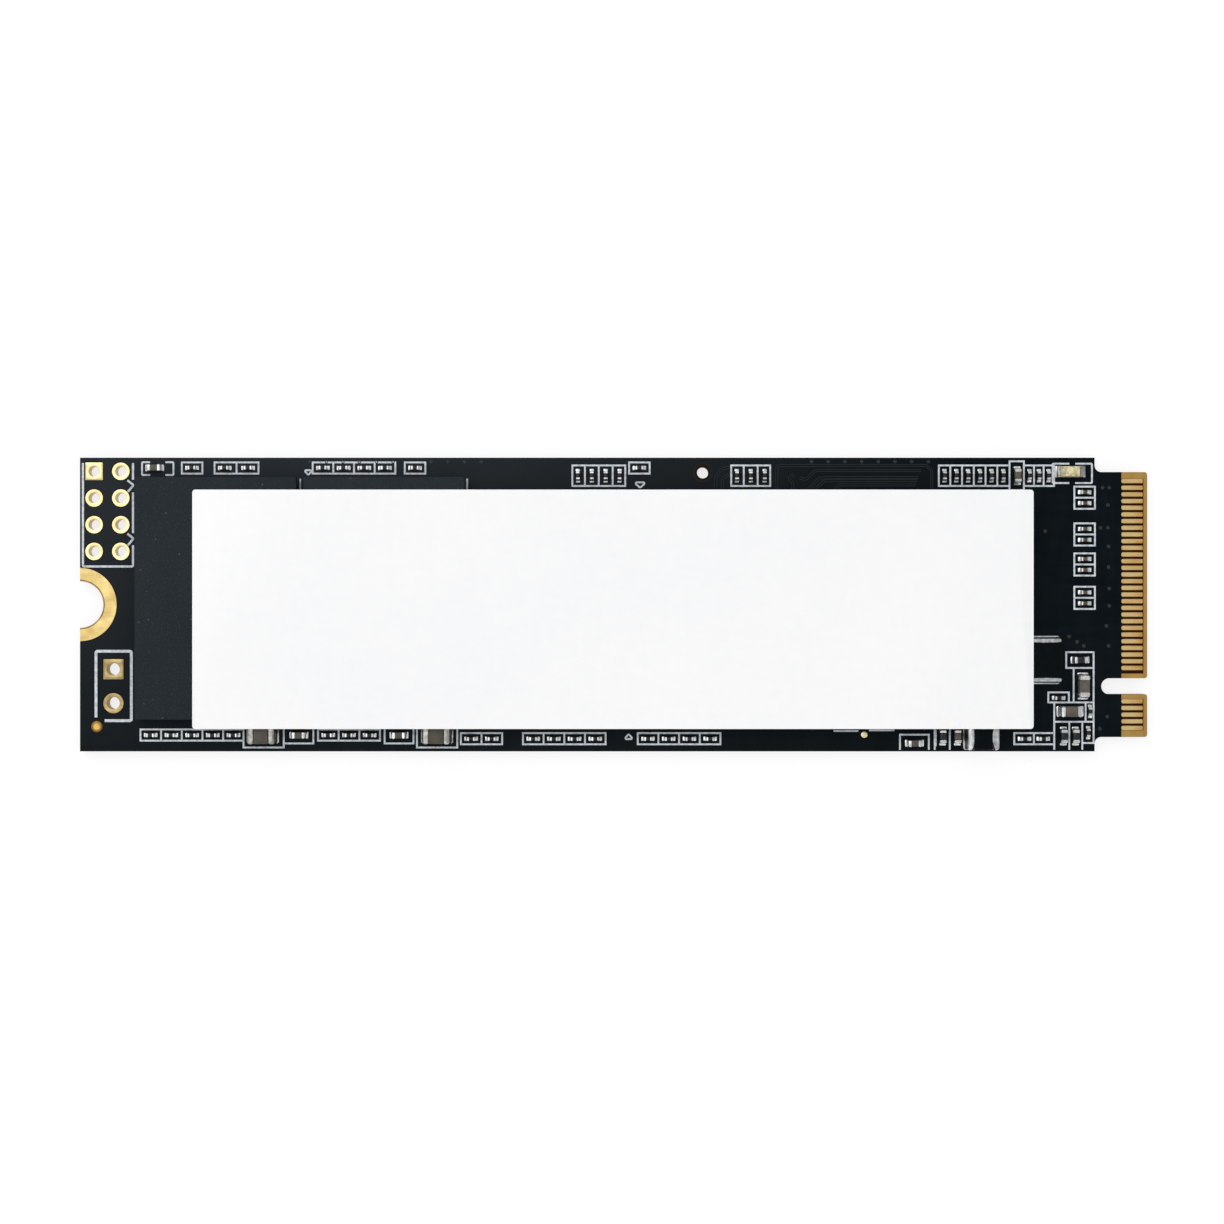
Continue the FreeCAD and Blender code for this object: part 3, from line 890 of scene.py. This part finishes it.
def power_package():
    """The power chip: a flat block with tinned lands along its four sides."""
    low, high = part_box("power_chip")
    mesh = block_mesh(low, high, PACKAGE_EDGE, RESIN, 3)
    piece("power_package", mesh, "package_resin", "power_chip")
    lands = bmesh.new()
    middle, half = (low + high) / 2, (high - low) / 2
    for step, side, axis in itertools.product(LAND_STEPS, (-1, 1), (0, 1)):
        centre = Vector((middle.x, middle.y, low.z + LAND_HEIGHT / 2))
        centre[axis] += side * half[axis]
        centre[1 - axis] += step * LAND_PITCH
        reach = Vector((LAND_REACH, LAND_REACH, LAND_HEIGHT / 2))
        reach[axis] = LAND_PROUD
        rounded_block(lands, centre - reach, centre + reach, LAND_PROUD / 2, 1)
    piece("power_package_lands", meshed(lands, TIN), "solder_tin")


def crystal_can():
    """The crystal: a ceramic tray under a drawn metal lid with rounded corners."""
    low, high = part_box("crystal")
    seam = low.z + TRAY_SHARE * (high.z - low.z)
    tray = block_mesh(low, Vector((*high.xy, seam)), PACKAGE_EDGE, CERAMIC)
    lid = bmesh.new()
    outline = rounded_corners(low + LID_INSET, high - LID_INSET, LID_RADIUS)
    _, upper = prism(lid, outline, seam, high.z)
    soften(lid, upper.edges, LID_EDGE, 3)
    piece("crystal_lid", meshed(lid, CAN), "metal_can", "crystal")
    piece("crystal_tray", tray, "metal_can")


# Chip parts


def chips(node):
    """Each chip part of a node: the points of its body and of its two nearest ends."""
    ends = [(extent(points).middle, points) for points in islands(node + "_ends")]
    found = []
    for body in islands(node):
        middle = extent(body).middle
        nearest = sorted(ends, key=lambda end: (end[0] - middle).length)
        found.append((body, nearest[0][1], nearest[1][1]))
    return found


def chip_seats(node):
    """Where each chip part of a node stands and which way it points, and the form of its ends."""
    found = chips(node)
    seats = []
    for body, end, other_end in found:
        line = extent(other_end).middle - extent(end).middle
        turn = 0.0 if abs(line.x) > abs(line.y) else QUARTER
        seats.append(Seat(Vector((*extent(body).middle.xy, TOP)), turn))
    body, points = extent(found[0][0]), found[0][1]
    lengthwise = 0 if seats[0].turn == 0 else 1
    away = [abs(point[lengthwise] - body.middle[lengthwise]) for point in points]
    crest = max(point.z for point in points)
    on_top = [reach for reach, point in zip(away, points) if point.z > crest - SAME]
    toe = max(away)
    lip = max(point.z for reach, point in zip(away, points) if reach > toe - SAME) - TOP
    width = extent(points).size[1 - lengthwise]
    form = EndForm(min(on_top), max(on_top), toe, lip, width, crest - TOP)
    return seats, form, body, lengthwise


def end_profile(form, shrink):
    """Section along one plated end: a cap with a rounded shoulder over a hollow solder fillet."""
    inner, outer, toe = form.inner + shrink, form.outer - shrink, form.toe - shrink
    height = form.height - shrink
    shoulder = min(SHOULDER * (form.outer - form.inner), SHOULDER * form.height)
    climb = min(FILLET_CLIMB * form.height, height - 1.2 * shoulder)
    profile = [(inner, 0.0), (inner, height - shoulder / 2), (inner + shoulder / 2, height)]
    centre = (outer - shoulder, height - shoulder)
    profile += arc(centre, (shoulder, shoulder), QUARTER, 0, SHOULDER_STEPS)
    profile += arc((toe, climb), (outer - toe, form.lip - climb), 0, QUARTER, FILLET_STEPS)
    return profile + [(toe, 0.0)]


def end_pair(form):
    """Both plated ends of a chip part, each through four sections so that its sides are soft."""
    edge = min(END_EDGE * form.width, END_EDGE * form.height)
    half = form.width / 2
    sections = ((-half, edge), (edge - half, 0.0), (half - edge, 0.0), (half, edge))
    shape = bmesh.new()
    for way in (1, -1):
        rings = []
        for across, shrink in sections:
            profile = end_profile(form, shrink)
            rings.append([shape.verts.new((way * u, across, z)) for u, z in profile])
        skin(shape, rings)
        shape.faces.new(rings[0])
        shape.faces.new(rings[-1])
    return shape


def chip_parts(node, name, body_finish, end_finish, slot):
    """All the chip parts of one node: bodies as one piece, their plated ends as another."""
    seats, form, body, lengthwise = chip_seats(node)
    length, width = body.size[lengthwise], body.size[1 - lengthwise]
    half = Vector((length / 2, width / 2, 0))
    edge = BODY_EDGE * min(width, body.size.z)
    pattern = block_mesh(-half, half + Vector((0, 0, body.size.z)), edge, body_finish)
    body_mesh = stood(pattern, body_finish, seats, SEAT_SWAY)
    piece(name + "_bodies", body_mesh, slot, node)
    pattern = meshed(end_pair(form), end_finish, SOFT_CREASE)
    end_mesh = stood(pattern, end_finish, seats, SEAT_SWAY)
    piece(name + "_solder", end_mesh, "solder_tin", node + "_ends")


def lamp_lens():
    """The lamp's lens: a block with sloping sides and a soft top."""
    low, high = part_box("status_led_lens")
    shape = bmesh.new()
    rounded_block(shape, low, high, LENS_EDGE, 3)
    middle = (low + high) / 2
    for corner in shape.verts:
        rise = (corner.co.z - low.z) / (high.z - low.z)
        shrink = 1 - LENS_TAPER * rise
        corner.co.x = middle.x + (corner.co.x - middle.x) * shrink
        corner.co.y = middle.y + (corner.co.y - middle.y) * shrink
    piece("lamp_lens", meshed(shape, LENS), "lamp_lens", "status_led_lens")


# Label


def label_height(x, spans):
    """How far the label lies below the chips' tops: it dips over gaps and droops at its end."""
    last = spans[-1][1]
    if x > last:
        run = (x - last) / (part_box("label")[1].x - last)
        return LABEL_DROOP * run * run
    for (_, end), (start, _) in zip(spans, spans[1:]):
        if end < x < start:
            run = (x - end) / (start - end)
            return LABEL_DIP * (start - end) * math.sin(math.pi * run) ** 2
    return 0.0


def label_sheet():
    """The blank label: a thin sheet with rounded corners that follows the chips under it."""
    low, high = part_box("label")
    nodes = ("memory_chip_outer", "memory_chip_inner", "cache_chip", "controller_chip")
    spans = [(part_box(node)[0].x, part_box(node)[1].x) for node in nodes]
    shape = bmesh.new()
    _, upper = prism(shape, rounded_corners(low, high, LABEL_RADIUS), low.z, high.z)
    soften(shape, upper.edges, LABEL_EDGE, 2)
    gaps = [(a[1], b[0]) for a, b in zip(spans, spans[1:])] + [(spans[-1][1], high.x)]
    for start, end in gaps:
        for step in range(LABEL_STEPS + 1):
            cut = (start + (end - start) * step / LABEL_STEPS, 0, 0)
            everything = shape.verts[:] + shape.edges[:] + shape.faces[:]
            plane = {"plane_co": cut, "plane_no": (1, 0, 0)}
            bmesh.ops.bisect_plane(shape, geom=everything, dist=MERGE, **plane)
    for corner in shape.verts:
        corner.co.z -= label_height(corner.co.x, spans)
    piece("label_sheet", meshed(shape, PAPER), "label_paper", "label")


# Print, traces and filled holes


def footprints(node):
    """The plan of every chip part of a node, solder included."""
    return [extent(sum(points, [])) for points in chips(node)]


def cell_side(plan, margin, others, axis, way):
    """Where a part's frame runs on one side: halfway to a close neighbour, or at its margin."""
    own = plan.high[axis] if way > 0 else plan.low[axis]
    across = 1 - axis
    gaps = []
    for other in others:
        overlap = min(plan.high[across], other.high[across])
        overlap -= max(plan.low[across], other.low[across])
        gap = way * ((other.low[axis] if way > 0 else other.high[axis]) - own)
        if overlap > SAME and -SAME < gap < SHARED_GAP:
            gaps.append(gap)
    return own + way * (min(gaps) / 2 if gaps else margin)


def joined_runs(runs, gap):
    """Runs that lie on one line, joined where they meet or nearly meet."""
    joined = []
    for start, end in sorted(runs):
        if joined and start <= joined[-1][1] + gap:
            joined[-1] = (joined[-1][0], max(end, joined[-1][1]))
        else:
            joined.append((start, end))
    return joined


def shared_lines(sides):
    """The line that each side of a frame is drawn on: one for all the sides that nearly meet.

    A side is (line, from, to).
    """
    groups = []
    for side in sorted(sides):
        line, start, end = side
        near = []
        for group in groups:
            beside = any(a < end + NEAR_LINE and b > start - NEAR_LINE for _, a, b in group)
            if beside and line - group[-1][0] < NEAR_LINE:
                near.append(group)
        groups = [group for group in groups if group not in near] + [sum(near, []) + [side]]
    shared = {}
    for group in groups:
        shared.update(dict.fromkeys(group, sum(line for line, _, _ in group) / len(group)))
    return shared


def frame_lines(nodes, open_plan):
    """The straight strokes of the frames round the chip parts, with shared sides drawn once."""
    plans = []
    for node in nodes:
        margin = WIDE_MARGINS.get(node, FRAME_MARGIN)
        plans += [(plan, margin) for plan in footprints(node)]
    cells = []
    for plan, margin in plans:
        if not open_plan(plan):
            others = [other for other, _ in plans if other is not plan]
            cells.append([
                [cell_side(plan, margin, others, axis, way) for way in (-1, 1)] for axis in (0, 1)
            ])
    upright = shared_lines({(x, *up) for across, up in cells for x in across})
    level = shared_lines({(y, *across) for across, up in cells for y in up})
    strokes = {}
    for across, up in cells:
        left, right = (upright[(x, *up)] for x in across)
        bottom, top = (level[(y, *across)] for y in up)
        for x in (left, right):
            strokes.setdefault((1, x), []).append((bottom, top))
        for y in (bottom, top):
            if PRINT_LOW + SAME < y < PRINT_HIGH - SAME:
                strokes.setdefault((0, y), []).append((left, right))
    lines = []
    stretch = FRAME_WIDTH / 2
    for (axis, line), runs in strokes.items():
        for start, end in joined_runs(runs, FRAME_WIDTH):
            start, end = start - stretch, end + stretch
            if axis == 0:
                lines.append([Vector((start, line, TOP)), Vector((end, line, TOP))])
            else:
                start, end = max(start, PRINT_LOW), min(end, PRINT_HIGH)
                lines.append([Vector((line, y, TOP + CROSSING_LIFT)) for y in (start, end)])
    return lines


def bracket_lines(left, right, bottom, top, arm):
    """Two square brackets that face each other."""
    lines = []
    for x, way in ((left, 1), (right, -1)):
        tip = x + way * arm
        lines.append(spots((tip, top), (x, top), (x, bottom), (tip, bottom)))
    return lines


def header_lines():
    """Print round the programming header: an open tray with two arrowheads in its right side."""
    left, right, bottom, top = 0.22, 3.97, 2.85, 10.6
    lines = [
        spots((left, top), (left, bottom), (right, bottom), (right, 4.45)),
        spots((right, 5.35), (right, 8.4)),
        spots((right, 9.35), (right, top)),
    ]
    for y in (4.95, 8.95):
        lines.append(spots((right - 0.42, y + 0.35), (right + 0.05, y), (right - 0.38, y - 0.5)))
    return lines


def jumper_lines():
    """Print round the jumper header, open at the corner where the test pad sits."""
    left, right, bottom, top = 1.2, 3.85, -8.7, -3.5
    corners = ((left, top), (right, top), (right, bottom))
    return [spots((left, bottom + 0.25), *corners, (left + 0.65, bottom))]


def loose_strokes():
    """Single strokes of the print: package outlines, two bars, a post and outlined arrowheads."""
    runs = (
        ((16.5, 9.42), (16.5, -8.5)),
        ((29.0, 9.42), (29.0, -8.5)),
        ((56.45, -9.47), (58.3, -9.47)),
        ((59.1, -9.42), (61.0, -9.42)),
        ((64.1, -9.4), (64.1, -10.6)),
        ((41.5, 9.15), (42.4, 9.15), (41.95, 8.75), (41.5, 9.15)),
        ((16.77, 10.06), (17.43, 10.06), (17.1, 9.7), (16.77, 10.06)),
        ((40.77, -10.08), (41.43, -10.08), (41.1, -9.7), (40.77, -10.08)),
    )
    return [spots(*run) for run in runs]


def line_mesh(lines, rise):
    """A carrier of bare lines, lifted off the board. One that ends where it began is closed."""
    places, edges = [], []
    for line in lines:
        first, count = len(places), len(line) - (line[0] == line[-1])
        places += [place + Vector((0, 0, rise)) for place in line[:count]]
        edges += [(first + i, first + (i + 1) % count) for i in range(len(line) - 1)]
    mesh = bpy.data.meshes.new("lines")
    mesh.from_pydata(places, edges, [])
    return mesh


def board_print(framed):
    """All the white print on the board: fine frames, single strokes and broader marks."""
    first_cap = (4.65, 7.0, 9.7, 10.66)
    lamp_corner = (72.85, 75.8, 9.1, 10.55)
    corner_end = spot(first_cap[1], 0).x
    frames = frame_lines(framed, lambda plan: plan.middle.y > 0 and plan.middle.x < corner_end)
    brackets = bracket_lines(*first_cap, arm=0.6) + bracket_lines(*lamp_corner, arm=1.25)
    sets = (
        ("frames", frames, FRAME_WIDTH),
        ("strokes", brackets + loose_strokes(), FRAME_WIDTH),
        ("header", header_lines(), MARK_WIDTH),
        ("jumper", jumper_lines(), BROAD_WIDTH),
    )
    for layer, (name, lines, width) in enumerate(sets):
        sizes = {"Width": width, "Thickness": PRINT_THICKNESS, "Bend": PRINT_BEND * width}
        rise = PRINT_THICKNESS / 2 + layer * CROSSING_LIFT / 2
        mesh = grown(RIBBON, line_mesh(lines, rise), PRINT, **sizes)
        piece("board_print_" + name, mesh, "label_paper")


def traces():
    """Copper runs that show through the lacquer in the strip above the label."""
    runs = [
        [(47.6, 8.6), (47.65, 9.6), (48.1, 10.17), (48.9, 10.34)],
        [(48.1, 8.6), (48.1, 9.4), (48.55, 9.73), (48.9, 9.73)],
        [(52.2, 8.6), (52.2, 10.42), (63.4, 10.42), (63.8, 10.05), (63.8, 8.6)],
        [(53.4, 8.6), (53.4, 9.1), (53.15, 9.35), (53.15, 9.6), (53.5, 9.7)],
        [(53.9, 9.48), (54.35, 9.34), (55.05, 10.03), (63.0, 10.03)],
        [(54.5, 8.6), (55.35, 9.45), (55.9, 9.51), (62.8, 9.51)],
        [(55.0, 8.6), (55.75, 9.27), (62.7, 9.27)],
        [(56.5, 8.6), (56.85, 8.96), (62.6, 8.96)],
    ]
    lines = [spots(*run) for run in runs]
    layers = (
        ("board_traces", TRACE, TRACE_WIDTH, TRACE_THICKNESS),
        ("board_trace_crests", TRACE_CREST, TRACE_CREST_WIDTH, TRACE_CREST_THICKNESS),
    )
    for name, finish, width, thickness in layers:
        sizes = {"Width": width, "Thickness": thickness, "Bend": TRACE_BEND}
        mesh = grown(RIBBON, line_mesh(lines, 0.0), finish, **sizes)
        piece(name, mesh, "solder_mask")


def filled_holes():
    """Small plated holes closed by the lacquer: a low ring with a dimple."""
    rows = ((17.2, 10.68, 6), (26.3, 10.68, 4), (54.8, 10.7, 8))
    places = [(x + 1.25 * i, y) for x, y, count in rows for i in range(count)]
    places += [(76.6, 8.75), (77.1, 8.75), (77.0, 7.45), (76.45, 5.75), (77.0, 5.75), (77.05, 4.35)]
    places += [(77.05, 2.8), (77.1, 1.2), (77.1, -0.1), (76.9, -1.6), (77.05, -3.1), (76.95, -8.4)]
    places += [(76.4, -9.3), (72.3, 5.5), (74.1, -2.4), (74.7, -2.8), (75.2, -3.1)]
    profile = [
        (0, 0),
        (VIA_RADIUS, 0),
        (0.85 * VIA_RADIUS, 0.8 * VIA_HEIGHT),
        (0.6 * VIA_RADIUS, VIA_HEIGHT),
        (0.35 * VIA_RADIUS, 0.5 * VIA_HEIGHT),
        (0, 0.3 * VIA_HEIGHT),
    ]
    pattern = bmesh.new()
    turned(pattern, profile, Vector((0, 0, 0)), VIA_SIDES)
    seats = [Seat(place, 0.0) for place in spots(*places)]
    mesh = stood(meshed(pattern, VIA, ROUND_CREASE), VIA, seats)
    piece("board_filled_holes", mesh, "solder_mask")


# The drive

# Rims of painted shade: the notch ring darkens towards its inner edge, the corner pad towards its
# outer edge.
NOTCH_LIP = Rim(spot(0, 0), clear=1.89, dark=1.83)
PAD_RIM = Rim(spot(1.25, -9.15), clear=0.2, dark=0.32)
UPPER_CONTACT_GOLD = contact_finish("upper_contact_gold", "contact_fingers_upper")
LOWER_CONTACT_GOLD = contact_finish("lower_contact_gold", "contact_fingers_lower")
RING_GOLD = gilt_finish("notch_gold", (230, 207, 142), (197, 168, 104), 0.3, 0.25, NOTCH_LIP)
HEADER_GOLD = gilt_finish("header_gold", (253, 236, 182), (242, 218, 154), 0.24, 0.25)
JUMPER_GOLD = gilt_finish("jumper_gold", (202, 180, 128), (160, 136, 88), 0.34, 0.35)
CORNER_PAD_GOLD = gilt_finish("corner_pad_gold", (222, 186, 104), (180, 144, 78), 0.3, 0.3, PAD_RIM)
EDGE_PAD_GOLD = gilt_finish("edge_pad_gold", (255, 246, 204), (228, 212, 160), 0.28, 0.3)
TIN = tin_finish("solder_tin_bright", (196, 196, 194), (244, 246, 247))
CAP_TIN = tin_finish("solder_tin_dull", (138, 136, 128), (184, 184, 180))
POWER_COIL_TIN = coil_end_finish("power_inductor", 0.08)
FILTER_COIL_TIN = coil_end_finish("filter_inductor", 0.24)
RESIN = resin_finish()
CARRIER = carrier_finish()
RESISTOR = ceramic_finish("resistor_glaze", (9, 10, 12), (24, 26, 29), 0.38)
SMALL_CERAMIC = ceramic_finish("small_capacitor_ceramic", (58, 50, 42), (92, 82, 70))
CERAMIC = ceramic_finish("capacitor_ceramic", (70, 65, 55), (100, 95, 84))
BULK_CERAMIC = ceramic_finish("bulk_capacitor_ceramic", (58, 53, 45), (84, 78, 68))
CORE = ceramic_finish("coil_core_moulded", (1, 5, 7), (7, 13, 16), 0.55, 0.06)
LAMP_BASE = ceramic_finish("lamp_base_pale", (206, 204, 192), (232, 230, 220))
CAN = can_finish()
PAPER = paper_finish()
PRINT = print_finish()
TRACE = covered_finish("trace_under_lacquer", (31, 38, 42), (46, 53, 57), 0.07)
TRACE_CREST = covered_finish("trace_crest_lacquer", (0, 1, 2), (6, 9, 11), 0.06)
VIA = covered_finish("filled_hole_lacquer", (6, 9, 12), (34, 39, 43), 0.35)
LENS = lens_finish()

board_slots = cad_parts["circuit_board"].data.materials
board_slots.clear()
board_slots.append(board_finish(contact_runs()))

notch_rings()
plated_holes("programming_header_pads", "programming_holes", HEADER_GOLD)
plated_holes("jumper_header_pads", "jumper_holes", JUMPER_GOLD)
gold_contacts("contact_fingers_upper", "gold_contacts_upper", UPPER_CONTACT_GOLD, True)
gold_contacts("contact_fingers_lower", "gold_contacts_lower", LOWER_CONTACT_GOLD, False)
bare_pads(("corner_test_pad", "edge_test_pad"), (CORNER_PAD_GOLD, EDGE_PAD_GOLD))
packages()
power_package()
crystal_can()
label_sheet()
lamp_lens()

PARTS = (
    ("memory_resistors_upper", "upper_memory_chips", RESISTOR, TIN, "dark_ceramic"),
    ("memory_resistors_lower", "lower_memory_chips", RESISTOR, TIN, "dark_ceramic"),
    ("cache_resistors", "cache_row_chips", RESISTOR, TIN, "dark_ceramic"),
    ("controller_resistors", "controller_row_chips", RESISTOR, TIN, "dark_ceramic"),
    ("power_resistors", "power_row_chips", RESISTOR, TIN, "dark_ceramic"),
    ("coupling_capacitors", "lane_capacitors", SMALL_CERAMIC, TIN, "tan_ceramic"),
    ("filter_capacitors", "filter_row_capacitors", CERAMIC, TIN, "tan_ceramic"),
    ("power_capacitors", "power_row_capacitors", CERAMIC, TIN, "tan_ceramic"),
    ("bulk_capacitors", "bulk_row_capacitors", BULK_CERAMIC, CAP_TIN, "tan_ceramic"),
    ("status_led", "lamp", LAMP_BASE, CAP_TIN, "lamp_base"),
    ("power_inductor", "power_coil", CORE, POWER_COIL_TIN, "moulded_core"),
    ("filter_inductor", "filter_coil", CORE, FILTER_COIL_TIN, "moulded_core"),
)
for part in PARTS:
    chip_parts(*part)
board_print([node for node, *_, slot in PARTS if slot in ("dark_ceramic", "tan_ceramic")])
traces()
filled_holes()


# The stage


def floor():
    """A wide pale floor: white to the eye, and it still takes the drive's soft shadow."""
    shape = bmesh.new()
    bmesh.ops.create_circle(shape, cap_ends=True, segments=FLOOR_SIDES, radius=FLOOR_RADIUS)
    mesh = bpy.data.meshes.new("floor")
    shape.to_mesh(mesh)
    shape.free()
    material = bpy.data.materials.new("floor_white")
    material.use_nodes = True
    tree = Tree(material.node_tree)
    tree.tree.nodes.clear()
    rays = [tree.node("ShaderNodeLightPath", ray) for ray in RAYS]
    seen = tree.math("MAXIMUM", tree.math("MAXIMUM", rays[0], rays[1]), rays[2])
    paint = tree.node("ShaderNodeBsdfDiffuse", Color=FLOOR_PAINT)
    glow = tree.node("ShaderNodeEmission", Color=WHITE, Strength=FLOOR_GLOW * seen)
    both = tree.node("ShaderNodeAddShader", Shader=paint, Shader_001=glow)
    tree.node("ShaderNodeOutputMaterial", Surface=both)
    mesh.materials.append(material)
    put("floor", mesh)


def sky():
    """Soft light from all round, white at the horizon and dimmer overhead."""
    world = bpy.data.worlds.new("studio")
    world.use_nodes = True
    bpy.context.scene.world = world
    tree = Tree(world.node_tree)
    tree.tree.nodes.clear()
    way = tree.node("ShaderNodeTexCoord", "Generated")
    rise = tree.node("ShaderNodeSeparateXYZ", "Z", Vector=way)
    limits = {"From_Min": HORIZON, "From_Max": 1.0, "To_Min": HORIZON_LIGHT, "To_Max": ZENITH_LIGHT}
    strength = tree.node("ShaderNodeMapRange", "Result", Value=rise, **limits)
    light = tree.node("ShaderNodeBackground", Color=WHITE, Strength=strength)
    tree.node("ShaderNodeOutputWorld", Surface=light)


def lamp(name, place, aim, size, power):
    """A soft panel that faces a point."""
    data = bpy.data.lights.new(name, "AREA")
    data.shape = "RECTANGLE"
    data.size, data.size_y = size
    data.energy = power
    made = put(name, data)
    made.location = place
    made.rotation_euler = (Vector(aim) - Vector(place)).to_track_quat("-Z", "Y").to_euler()


def camera():
    """Looks straight down on the board with the notch at the left."""
    data = bpy.data.cameras.new("camera")
    data.sensor_width = SENSOR
    data.lens = SENSOR * VIEW_HEIGHT / VIEW_WIDTH
    data.clip_start = MM
    made = put("camera", data)
    middle = (BOARD_LOW + BOARD_HIGH) / 2
    made.location = Vector((*middle.xy, TOP + VIEW_HEIGHT)) + VIEW_SHIFT
    bpy.context.scene.camera = made


floor()
sky()
lamp("overhead_panel", place=(-0.22, 0.08, 0.80), aim=(-0.03, 0, 0), size=(0.56, 0.7), power=1.22)
lamp("key_panel", place=(-0.35, 0.55, 0.55), aim=(0, 0, 0), size=(0.7, 0.7), power=2.2)
lamp("fill_panel", place=(0.50, -0.40, 0.50), aim=(0, 0, 0), size=(0.5, 0.5), power=0.4)
camera()
bpy.context.scene.view_settings.view_transform = "Standard"
